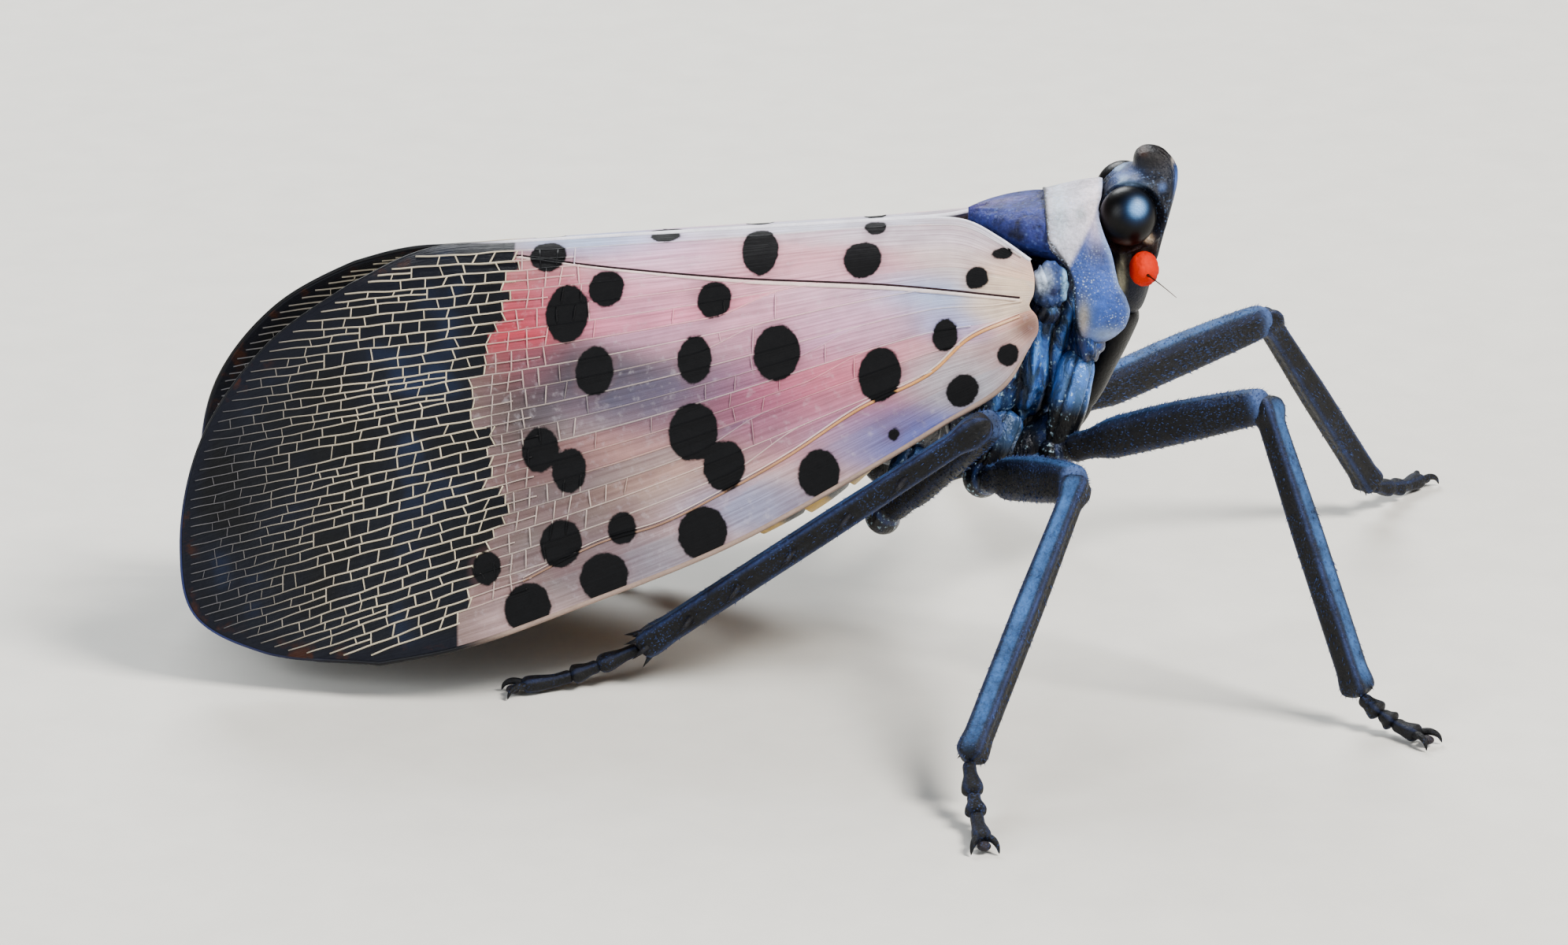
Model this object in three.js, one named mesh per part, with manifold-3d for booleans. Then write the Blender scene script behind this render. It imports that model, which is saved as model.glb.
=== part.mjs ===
import * as THREE from 'three';
import { mergeVertices } from 'three/addons/utils/BufferGeometryUtils.js';
import Module from 'manifold-3d';

// Spotted lanternfly, adult, standing with its wings closed over its back.
// Millimetres, +X to the head, +Y to the insect's left, +Z up, feet on z = 0.
// A place is written for the right side (y below 0) and mirrored for the left.

const wasm = await Module();
wasm.setup();

// Driving dimensions
const GAP = 0.3;
const MIDLINE = 0.15;
const WING_THICKNESS = 0.5;
const VEIN_HEIGHT = 0.18;
const VEIN_HALF_WIDTH = 0.16;
const RIDGE_HEIGHT = 10.58;
const RIDGE_AT = 4;
const RIDGE_SLOPE = 0.062;
const ROOF_DEPTH = 8;
const ROOF_SPREAD = 4.65;
const ROOF_FULLNESS = 0.52;
const WING_BASE_X = 5.75;

const RIGHT = -1;
const LEFT = 1;

const point = (x, y, z) => new THREE.Vector3(x, y, z);
const place = ([x, y, z], side) => point(x, y * -side, z);

// Rises from 0 at a to 1 at b, smoothly, also where b is below a.
function ease(a, b, x) {
  const t = THREE.MathUtils.clamp((x - a) / (b - a), 0, 1);
  return t * t * (3 - 2 * t);
}

// Value at t of a table of [t, value, value, ...] rows, straight between rows.
function table(rows, t) {
  let k = 0;
  while (k < rows.length - 2 && t > rows[k + 1][0]) {
    k += 1;
  }
  const low = rows[k];
  const high = rows[k + 1];
  const share = THREE.MathUtils.clamp((t - low[0]) / (high[0] - low[0]), 0, 1);
  return low.slice(1).map((value, i) => value + share * (high[i + 1] - value));
}

// Closed surfaces

function enclosedVolume(points, faces) {
  let sum = 0;
  for (const [a, b, c] of faces) {
    sum += points[a].dot(points[b].clone().cross(points[c])) / 6;
  }
  return sum;
}

// An indexed geometry with its faces pointing out.
function closed(points, faces) {
  const inward = enclosedVolume(points, faces) < 0;
  const index = faces.flatMap(([a, b, c]) => (inward ? [a, c, b] : [a, b, c]));
  const geometry = new THREE.BufferGeometry();
  geometry.setAttribute('position', new THREE.Float32BufferAttribute(points.flatMap((p) => [p.x, p.y, p.z]), 3));
  geometry.setIndex(index);
  return geometry;
}

// Rings of equal length joined into a skin, with a fan over each end.
function loft(rings) {
  const count = rings[0].length;
  const points = rings.flat();
  const faces = [];
  for (let r = 0; r + 1 < rings.length; r++) {
    for (let i = 0; i < count; i++) {
      const a = r * count + i;
      const b = r * count + (i + 1) % count;
      faces.push([a, b, b + count], [a, b + count, a + count]);
    }
  }
  const last = (rings.length - 1) * count;
  const start = points.length;
  for (const ring of [rings[0], rings.at(-1)]) {
    const middle = point(0, 0, 0);
    ring.forEach((p) => middle.addScaledVector(p, 1 / count));
    points.push(middle);
  }
  for (let i = 0; i < count; i++) {
    const j = (i + 1) % count;
    faces.push([start, j, i], [start + 1, last + i, last + j]);
  }
  return closed(points, faces);
}

// Two grids of points, split into triangles alike, with a rim round their edge.
function slab(front, back) {
  const rows = front.length;
  const columns = front[0].length;
  const points = [...front.flat(), ...back.flat()];
  const behind = rows * columns;
  const at = (r, c) => r * columns + c;
  const faces = [];
  for (let r = 0; r + 1 < rows; r++) {
    for (let c = 0; c + 1 < columns; c++) {
      const quad = [at(r, c), at(r, c + 1), at(r + 1, c + 1), at(r + 1, c)];
      faces.push([quad[0], quad[1], quad[2]], [quad[0], quad[2], quad[3]]);
      const other = quad.map((i) => i + behind);
      faces.push([other[0], other[2], other[1]], [other[0], other[3], other[2]]);
    }
  }
  const edge = [];
  for (let c = 0; c < columns - 1; c++) {
    edge.push(at(0, c));
  }
  for (let r = 0; r < rows - 1; r++) {
    edge.push(at(r, columns - 1));
  }
  for (let c = columns - 1; c > 0; c--) {
    edge.push(at(rows - 1, c));
  }
  for (let r = rows - 1; r > 0; r--) {
    edge.push(at(r, 0));
  }
  edge.forEach((a, i) => {
    const b = edge[(i + 1) % edge.length];
    faces.push([a, b + behind, b], [a, a + behind, b + behind]);
  });
  return closed(points, faces);
}

// A round bar along a path: stations of [share of the path, half width, half depth].
function limb(path, stations, sides = 8, edge = 1) {
  const curve = new THREE.CatmullRomCurve3(path);
  const rings = [];
  let across = null;
  for (const [share, wide, deep] of stations) {
    const centre = curve.getPointAt(share);
    const along = curve.getTangentAt(share);
    const seed = across ?? (Math.abs(along.z) < 0.9 ? point(0, 0, 1) : point(1, 0, 0));
    across = seed.clone().addScaledVector(along, -seed.dot(along)).normalize();
    const other = along.clone().cross(across);
    const ring = [];
    for (let i = 0; i < sides; i++) {
      const angle = (i / sides) * 2 * Math.PI;
      const grow = i % 2 ? edge : 1;
      ring.push(centre.clone()
        .addScaledVector(across, Math.cos(angle) * deep * grow)
        .addScaledVector(other, Math.sin(angle) * wide * grow));
    }
    rings.push(ring);
  }
  return loft(rings);
}

function ellipsoid(centre, radii, around = 10, up = 7) {
  const geometry = new THREE.SphereGeometry(1, around, up);
  geometry.rotateX(Math.PI / 2);
  geometry.scale(...radii);
  geometry.translate(centre.x, centre.y, centre.z);
  return geometry;
}

function spine(root, tip, radius, sides = 5) {
  const path = [root, root.clone().lerp(tip, 0.5), tip];
  return limb(path, [[0, radius, radius], [0.6, radius * 0.6, radius * 0.6], [1, 0.04, 0.04]], sides);
}

function block(low, high) {
  const geometry = new THREE.BoxGeometry(high[0] - low[0], high[1] - low[1], high[2] - low[2]);
  geometry.translate((low[0] + high[0]) / 2, (low[1] + high[1]) / 2, (low[2] + high[2]) / 2);
  return geometry;
}

// Joining and cutting

function toSolid(geometry) {
  const bare = geometry.clone();
  bare.deleteAttribute('normal');
  bare.deleteAttribute('uv');
  const merged = mergeVertices(bare, 1e-4);
  return new wasm.Manifold(new wasm.Mesh({
    numProp: 3,
    vertProperties: Float32Array.from(merged.attributes.position.array),
    triVerts: Uint32Array.from(merged.index.array),
  }));
}

// The largest closed surface of a solid.
function toGeometry(solid) {
  let best = null;
  let bestVolume = 0;
  for (const piece of solid.decompose()) {
    const mesh = piece.getMesh();
    const points = [];
    for (let i = 0; i < mesh.vertProperties.length; i += mesh.numProp) {
      points.push(point(...mesh.vertProperties.slice(i, i + 3)));
    }
    const faces = [];
    for (let i = 0; i < mesh.triVerts.length; i += 3) {
      faces.push(Array.from(mesh.triVerts.slice(i, i + 3)));
    }
    const volume = enclosedVolume(points, faces);
    if (volume > bestVolume) {
      best = closed(points, faces);
      bestVolume = volume;
    }
  }
  return best;
}

function fuse(first, ...others) {
  return toGeometry(others.reduce((whole, piece) => whole.add(toSolid(piece)), toSolid(first)));
}

function cut(first, ...others) {
  return toGeometry(others.reduce((whole, piece) => whole.subtract(toSolid(piece)), toSolid(first)));
}

function common(first, second) {
  return toGeometry(toSolid(first).intersect(toSolid(second)));
}

// The roof that the closed wings make over the body

function ridge(x) {
  return RIDGE_HEIGHT + RIDGE_SLOPE * (x - RIDGE_AT);
}

function roofHalfWidth(x, drop) {
  const spread = ROOF_SPREAD - 1.35 * ease(-5, -15, x) - 0.35 * ease(1, 6, x);
  const fullness = ROOF_FULLNESS + 0.1 * ease(0, -10, x) - 0.14 * ease(1, 6, x);
  return MIDLINE + spread * (Math.max(0, drop) / ROOF_DEPTH) ** fullness;
}

// The wing is laid out in (x, g), where g is 0 on the ridge and about 1.1 at its lowest.
const DROP_POWER = 1.4;
const depthOf = (x, z) => (Math.max(0, ridge(x) - z) / ROOF_DEPTH) ** (1 / DROP_POWER);

function roofPoint(x, g) {
  const drop = ROOF_DEPTH * Math.max(0, g) ** DROP_POWER;
  return point(x, -roofHalfWidth(x, drop), ridge(x) - drop);
}

// A smooth line through (x, z) points on the roof, as a function of its share.
function margin(points) {
  const curve = new THREE.CatmullRomCurve3(points.map(([x, z]) => point(x, 10 * depthOf(x, z), 0)));
  return (share) => {
    const p = curve.getPointAt(THREE.MathUtils.clamp(share, 0, 1));
    return [p.x, p.y / 10];
  };
}

// A patch between four margins; p runs from root to tip and q from the lower edge up.
function patch(lower, upper, root, tip) {
  return (p, q) => {
    const spot = [0, 1].map((k) => {
      const sides = (1 - q) * lower(p)[k] + q * upper(p)[k];
      const ends = (1 - p) * root(q)[k] + p * tip(q)[k];
      const near = (1 - q) * root(0)[k] + q * root(1)[k];
      const far = (1 - q) * tip(0)[k] + q * tip(1)[k];
      return sides + ends - (1 - p) * near - p * far;
    });
    return roofPoint(spot[0], spot[1]);
  };
}

function normalOf(surface, p, q) {
  const step = 0.004;
  const bound = (t) => THREE.MathUtils.clamp(t, 0, 1);
  const alongP = surface(bound(p + step), q).sub(surface(bound(p - step), q));
  const alongQ = surface(p, bound(q + step)).sub(surface(p, bound(q - step)));
  const normal = alongP.cross(alongQ).normalize();
  return normal.y > 0 ? normal.negate() : normal;
}

// A wing sheet: rows of q by columns of p, with its outer face raised by a height.
function wingSheet(surface, rows, columns, under, height, side) {
  const front = [];
  const back = [];
  for (const row of rows) {
    const frontRow = [];
    const backRow = [];
    for (const p of columns) {
      const q = row.at(p);
      const middle = surface(p, q);
      const normal = normalOf(surface, p, q);
      const outer = middle.clone().addScaledVector(normal, height(p, row) - under);
      const inner = middle.clone().addScaledVector(normal, -under - WING_THICKNESS);
      for (const corner of [outer, inner]) {
        corner.y = Math.min(corner.y, -MIDLINE) * -side;
      }
      frontRow.push(outer);
      backRow.push(inner);
    }
    front.push(frontRow);
    back.push(backRow);
  }
  return slab(front, back);
}

// Forewing (tegmen)

const TEGMEN_LOWER = [[WING_BASE_X, 8.3], [5.1, 7.4], [3.7, 6.55], [2.1, 5.63], [-1.3, 3.85],
  [-5.4, 2.25], [-7.6, 1.45], [-9.5, 0.96]];
const TEGMEN_UPPER = [[WING_BASE_X, 10.05], [5.02, 10.4], [4.25, ridge(4.25) - 0.02], [3.2, ridge(3.2)],
  [-1, ridge(-1)], [-5, ridge(-5)], [-8, ridge(-8)], [-10.2, 9.15]];
const TEGMEN_ROOT = [[WING_BASE_X, 8.3], [WING_BASE_X, 9.2], [WING_BASE_X, 10.05]];
const TEGMEN_TIP = [[-9.5, 0.96], [-12.3, 1.02], [-13.9, 1.8], [-14.2, 3.3], [-13.75, 5.6],
  [-12.2, 7.8], [-10.2, 9.15]];
const VEINS = [0.2, 0.36, 0.5, 0.64, 0.77, 0.86, 0.93];
const CROSS_VEINS = [0.55, 0.81];
const VEIN_FREE_ROWS = [0.1, 0.28];

// The tip margin's share of q, spread so that the veins fan out evenly.
const fan = (q) => q + 0.4 * Math.sin(2 * Math.PI * q) / (2 * Math.PI);

const tegmenTip = margin(TEGMEN_TIP);
const tegmen = patch(margin(TEGMEN_LOWER), margin(TEGMEN_UPPER), margin(TEGMEN_ROOT), (q) => tegmenTip(fan(q)));

const TEGMEN_LENGTH = 17.5;
const tegmenWidth = (p) => table([[0, 2.1], [0.2, 4.8], [0.5, 8.4], [0.8, 10.6], [1, 12.5]], p)[0];
const veinShare = (p) => Math.min(VEIN_HALF_WIDTH / tegmenWidth(p), 0.022);

function tegmenRows() {
  const rows = [{ at: () => 0, height: 0.7 }, { at: (p) => veinShare(p), height: 0 }];
  for (const q of VEINS) {
    rows.push({ at: (p) => q - veinShare(p), height: 0 });
    rows.push({ at: () => q, height: 1 });
    rows.push({ at: (p) => q + veinShare(p), height: 0 });
  }
  VEIN_FREE_ROWS.forEach((q) => rows.push({ at: () => q, height: 0 }));
  rows.push({ at: (p) => 1 - veinShare(p), height: 0 }, { at: () => 1, height: 0.7 });
  return rows.sort((a, b) => a.at(0.5) - b.at(0.5));
}

function tegmenColumns() {
  const half = VEIN_HALF_WIDTH / TEGMEN_LENGTH;
  const columns = [0, 0.06, 0.13, 0.21, 0.29, 0.38, 0.46, 0.63, 0.72, 0.87, 0.94, 1];
  CROSS_VEINS.forEach((p) => columns.push(p - half, p, p + half));
  return columns.sort((a, b) => a - b);
}

function tegmenHeight(p, row) {
  const crossing = CROSS_VEINS.includes(p) ? 0.7 : 0;
  const young = table([[0, 0.45], [0.25, 1], [1, 1]], p)[0];
  return VEIN_HEIGHT * young * Math.max(row.height, crossing);
}

const makeTegmen = (side) => wingSheet(tegmen, tegmenRows(), tegmenColumns(), 0, tegmenHeight, side);

// Hindwing, folded flat under the forewing

const HINDWING_LOWER = [[2.2, 6.3], [1.4, 5.65], [0, 4.75], [-2.6, 3.35], [-5, 2.42], [-7.4, 1.85]];
const HINDWING_UPPER = [[2.2, 8.4], [0, 8.7], [-3, 8.5], [-6, 7.9], [-8.4, 6.6]];
const HINDWING_ROOT = [[2.2, 6.3], [2.2, 7.4], [2.2, 8.4]];
const HINDWING_TIP = [[-7.4, 1.85], [-8.9, 2.6], [-9.3, 4.4], [-8.4, 6.6]];
const HINDWING_VEINS = [0.3, 0.55, 0.78];

const hindwing = patch(margin(HINDWING_LOWER), margin(HINDWING_UPPER), margin(HINDWING_ROOT), margin(HINDWING_TIP));

function makeHindwing(side) {
  const rows = [0, 0.15, 0.42, 0.67, 1].map((q) => ({ at: () => q, height: 0 }));
  for (const q of HINDWING_VEINS) {
    rows.push({ at: () => q - 0.03, height: 0 }, { at: () => q, height: 1 }, { at: () => q + 0.03, height: 0 });
  }
  rows.sort((a, b) => a.at(0) - b.at(0));
  const columns = [0, 0.1, 0.22, 0.35, 0.5, 0.65, 0.8, 0.9, 1];
  const height = (p, row) => 0.1 * row.height;
  return wingSheet(hindwing, rows, columns, WING_THICKNESS + GAP + 0.1, height, side);
}

// Trunk of the body: egg-shaped sections along x, as [x, centre z, up, down, half width].

function trunk(sections, grow = 0, around = 16) {
  const rings = sections.map(([x, centre, up, down, wide], k) => {
    const end = k === 0 ? -grow : (k === sections.length - 1 ? grow : 0);
    const forward = sections[0][0] < sections.at(-1)[0] ? 1 : -1;
    return Array.from({ length: around }, (_, i) => {
      const angle = (i / around) * 2 * Math.PI;
      const rise = Math.sin(angle) > 0 ? up + grow : down + grow;
      return point(x + forward * end, Math.cos(angle) * (wide + grow), centre + Math.sin(angle) * rise);
    });
  });
  return loft(rings);
}

const MESOTHORAX = [
  [7.15, 8.6, 1.5, 1.3, 0.72],
  [6.75, 8.2, 1.95, 1.8, 1.12],
  [6.2, 7.8, 2.15, 2.2, 1.6],
  [5.5, 7.6, 2.15, 2.4, 1.78],
  [4.7, 7.5, 2.15, 2.5, 1.82],
  [3.95, 7.3, 2.15, 2.4, 1.7],
];
const METATHORAX = [
  [3.65, 7.1, 2.1, 2.3, 1.62],
  [3, 6.8, 2, 2.3, 1.68],
  [2.35, 6.4, 1.8, 2, 1.5],
];

// Shield between the wing roots: [x, half width, crest z, edge z].
const SCUTELLUM = [[6, 1.34, 11.02, 10.34], [5.5, 1.16, 10.96, 10.4], [5, 0.78, 10.88, 10.5],
  [4.65, 0.44, 10.8, 10.56], [4.42, 0.14, 10.7, 10.6]];

function scutellum() {
  return loft(SCUTELLUM.map(([x, wide, crest, edge]) => {
    const half = [[0.35, crest - 0.03], [0.72, (crest + edge) / 2 + 0.08], [1, edge], [0.86, edge - 0.2],
      [0.36, edge - 0.5], [0.3, 9.2]];
    const right = half.map(([share, z]) => point(x, -share * wide, z));
    const left = half.map(([share, z]) => point(x, share * wide, z)).reverse();
    return [point(x, 0, crest), ...right, ...left];
  }));
}

const TEGULA = { centre: [6.36, -2.08, 9.4], radii: [0.31, 0.42, 0.55] };

function makeMesothorax() {
  let whole = fuse(trunk(MESOTHORAX), scutellum());
  for (const side of [RIGHT, LEFT]) {
    const [x, y, z] = TEGULA.centre;
    const arm = limb([place([x + 0.08, -0.7, z - 0.3], side), place([x + 0.05, y + 0.5, z - 0.1], side),
      place([x, y + 0.1, z], side)], [[0, 0.3, 0.34], [1, 0.24, 0.34]]);
    whole = fuse(whole, arm, ellipsoid(place([x, y, z], side), TEGULA.radii));
  }
  return whole;
}

const HINDWING_ROOT_KNOB = [2.86, -1.8, 7.4];

function makeMetathorax() {
  let whole = trunk(METATHORAX);
  for (const side of [RIGHT, LEFT]) {
    const [x, y, z] = HINDWING_ROOT_KNOB;
    const path = [place([x, -0.7, z - 0.4], side), place([x, y + 0.5, z - 0.15], side), place([x, y, z], side)];
    whole = fuse(whole, limb(path, [[0, 0.35, 0.4], [1, 0.24, 0.3]]));
  }
  return whole;
}

// Abdomen: rings across a sloping axis, each segment a little wider at its rear edge.

const ABDOMEN_START = point(2, 0, 6.05);
const ABDOMEN_END = point(-6.8, 0, 1.5);
const ABDOMEN_SEGMENTS = 8;
const ABDOMEN_STEP = 0.09;
const ABDOMEN_RADIUS = [[0, 1.4], [0.08, 1.8], [0.25, 2], [0.45, 1.92], [0.66, 1.6], [0.84, 1.12], [0.95, 0.66],
  [1, 0.34]];

function makeAbdomen() {
  const along = ABDOMEN_END.clone().sub(ABDOMEN_START).normalize();
  const up = point(-along.z, 0, along.x).multiplyScalar(along.x < 0 ? -1 : 1);
  const rings = [];
  const ring = (share, swell) => {
    const radius = table(ABDOMEN_RADIUS, share)[0] + swell;
    const centre = ABDOMEN_START.clone().lerp(ABDOMEN_END, share);
    rings.push(Array.from({ length: 14 }, (_, i) => {
      const angle = (i / 14) * 2 * Math.PI;
      return centre.clone()
        .addScaledVector(up, Math.sin(angle) * radius * 0.94)
        .add(point(0, Math.cos(angle) * radius, 0));
    }));
  };
  for (let k = 0; k < ABDOMEN_SEGMENTS; k++) {
    ring((k + 0.02) / ABDOMEN_SEGMENTS, -ABDOMEN_STEP);
    ring((k + 0.9) / ABDOMEN_SEGMENTS, ABDOMEN_STEP * 0.3);
  }
  ring(1, -ABDOMEN_STEP);
  return cut(loft(rings), trunk(METATHORAX, GAP));
}

// Head: level sections from its mouth end up to the upturned tip over the frons,
// as [z, rear x, front x, half width].

const HEAD = [
  [8.45, 7.75, 8.72, 0.72],
  [8.9, 7.58, 8.86, 0.92],
  [9.4, 7.5, 8.96, 1.04],
  [9.95, 7.48, 9.08, 1.1],
  [10.5, 7.5, 9.17, 1.08],
  [11, 7.62, 9.24, 1.04],
  [11.4, 7.68, 9.26, 0.98],
  [11.72, 7.78, 9.23, 0.84],
  [11.92, 8.1, 9.2, 0.6],
  [12.1, 8.38, 9.1, 0.44],
  [12.24, 8.56, 8.92, 0.32],
];

// Half an outline of a section, from the rear middle to the front middle, as shares.
const HEAD_OUTLINE = [[0, 0], [0, 0.45], [0.08, 0.8], [0.3, 0.97], [0.55, 1], [0.78, 0.98], [0.93, 0.94],
  [0.97, 0.55], [1, 0]];

function headLoft(grow = 0) {
  return loft(HEAD.map(([z, rear, front, wide], k) => {
    const lift = k === 0 ? -grow : (k === HEAD.length - 1 ? grow : 0);
    const spot = ([along, out], side) => point(
      rear - grow + along * (front - rear + 2 * grow), side * out * (wide + grow), z + lift);
    const right = HEAD_OUTLINE.map((share) => spot(share, RIGHT));
    const left = HEAD_OUTLINE.slice(1, -1).map((share) => spot(share, LEFT)).reverse();
    return [...right, ...left];
  }));
}

const EYE = { centre: [8.19, -1.17, 11.05], radii: [0.64, 0.6, 0.69] };
const EYE_BACK = 0.95;
const EYE_GAP = 0.26;

function eyeball(side, grow) {
  const radii = EYE.radii.map((radius) => radius + grow);
  const ball = ellipsoid(place(EYE.centre, side), radii, 16, 10);
  const inner = side * (EYE_BACK - grow);
  const outer = side * 3;
  return common(ball, block([6, Math.min(inner, outer), 9], [10, Math.max(inner, outer), 13]));
}

function makeHead() {
  return cut(headLoft(), eyeball(RIGHT, EYE_GAP), eyeball(LEFT, EYE_GAP));
}

// Feeler: a short stalk, a round bulb and a fine bristle.

const BULB = { centre: [8.45, -1.78, 9.62], radii: [0.42, 0.42, 0.4] };

function makeAntenna(side) {
  const [x, y, z] = BULB.centre;
  const stalk = limb([place([x - 0.08, -1.38, z + 0.06], side), place([x - 0.04, -1.5, z + 0.03], side),
    place([x, y, z], side)], [[0, 0.24, 0.24], [1, 0.26, 0.26]]);
  const bristle = spine(place([x, y, z], side), place([x + 0.7, y - 1.25, z - 0.3], side), 0.13);
  return fuse(ellipsoid(place(BULB.centre, side), BULB.radii, 12, 8), stalk, bristle);
}

// Beak: broad below the frons, then a slim tube back between the legs.

const BEAK_PATH = [[8.14, 0, 7.98], [7.9, 0, 7.45], [7.66, 0, 6.95], [7.36, 0, 6.3], [6.98, 0, 5.55],
  [6.3, 0, 4.92], [5.2, 0, 4.5], [4, 0, 4.1], [2.7, 0, 3.6]];
const BEAK_STATIONS = [[0, 0.6, 0.42], [0.1, 0.56, 0.4], [0.22, 0.44, 0.36], [0.32, 0.32, 0.28],
  [0.42, 0.26, 0.25], [0.6, 0.25, 0.22], [0.8, 0.22, 0.2], [0.97, 0.17, 0.16], [1, 0.1, 0.1]];

const makeBeak = () => cut(limb(BEAK_PATH.map((p) => point(...p)), BEAK_STATIONS, 10), trunk(MESOTHORAX, GAP));

// Pronotum: a saddle over the neck, cut to an outline with a lobe down each cheek.

const SADDLE = [[5.9, 9, 2.08, 1.6, 1.96], [6.6, 9, 2.22, 1.7, 2.02], [7.5, 9, 2.4, 1.7, 1.98],
  [8.5, 9, 2.42, 1.7, 1.84]];
const LOBE_OUTLINE = [[6.3, 11.6], [7.36, 11.8], [7.34, 10.8], [7.46, 10.1], [7.74, 9.5], [8.06, 8.88],
  [8.06, 8.38], [7.75, 7.97], [7.3, 7.92], [7.02, 8.3], [6.96, 8.95], [6.94, 9.5], [6.72, 10.05], [6.38, 10.5]];
const NECK = [[5.4, 8.5, 1.95, 3, 1.36], [9, 8.5, 1.95, 3, 1.36]];

function makePronotum() {
  const outline = new THREE.Shape(LOBE_OUTLINE.map(([x, z]) => new THREE.Vector2(x, z)));
  const prism = new THREE.ExtrudeGeometry(outline, { depth: 6, bevelEnabled: false });
  prism.rotateX(Math.PI / 2);
  prism.translate(0, 3, 0);
  return cut(common(trunk(SADDLE, 0, 24), prism), trunk(NECK), headLoft(GAP),
    eyeball(RIGHT, EYE_GAP), eyeball(LEFT, EYE_GAP));
}

// Legs: hip, knee, heel and tip, with half thicknesses; the hind ones carry spines.

const LEGS = {
  fore: {
    coxa: [6.95, -1.5, 7.3], hip: [6.42, -1.76, 5.26], knee: [11.15, -4.2, 7.3], heel: [13.4, -6.04, 0.75],
    tip: [14.7, -7.1, 0.24], hipRadius: 0.46, femur: 0.53, kneeRadius: 0.38, tibia: 0.33, tarsus: 0.28,
    kneeOffset: 0,
  },
  mid: {
    coxa: [5.3, -1.5, 5.8], hip: [4.7, -1.8, 4.62], knee: [6.75, -5.6, 5.85], heel: [4.15, -10.92, 1.15],
    tip: [4.41, -13.2, 0.24], hipRadius: 0.48, femur: 0.56, kneeRadius: 0.38, tibia: 0.32, tarsus: 0.27,
    kneeOffset: 0,
  },
  hind: {
    coxa: [3.15, -1.05, 4.75], hip: [2.35, -1.72, 3.62], knee: [4.82, -4.35, 6.92], heel: [-3.42, -3.29, 0.88],
    tip: [-6.2, -4.05, 0.24], hipRadius: 0.44, femur: 0.48, kneeRadius: 0.4, tibia: 0.33, tarsus: 0.27,
    kneeOffset: 0.5,
  },
};

// The left foreleg reaches further forward than the right one.
const LEFT_FORE = { hip: [6.42, -1.76, 4.98], knee: [11.89, -5.6, 6.1], heel: [14.91, -8.15, 0.75], tip: [16.35, -10.15, 0.24] };

const HIND_SPINES = [0.22, 0.38, 0.54, 0.7, 0.84];
const CROWN_SPINES = 6;

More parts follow.
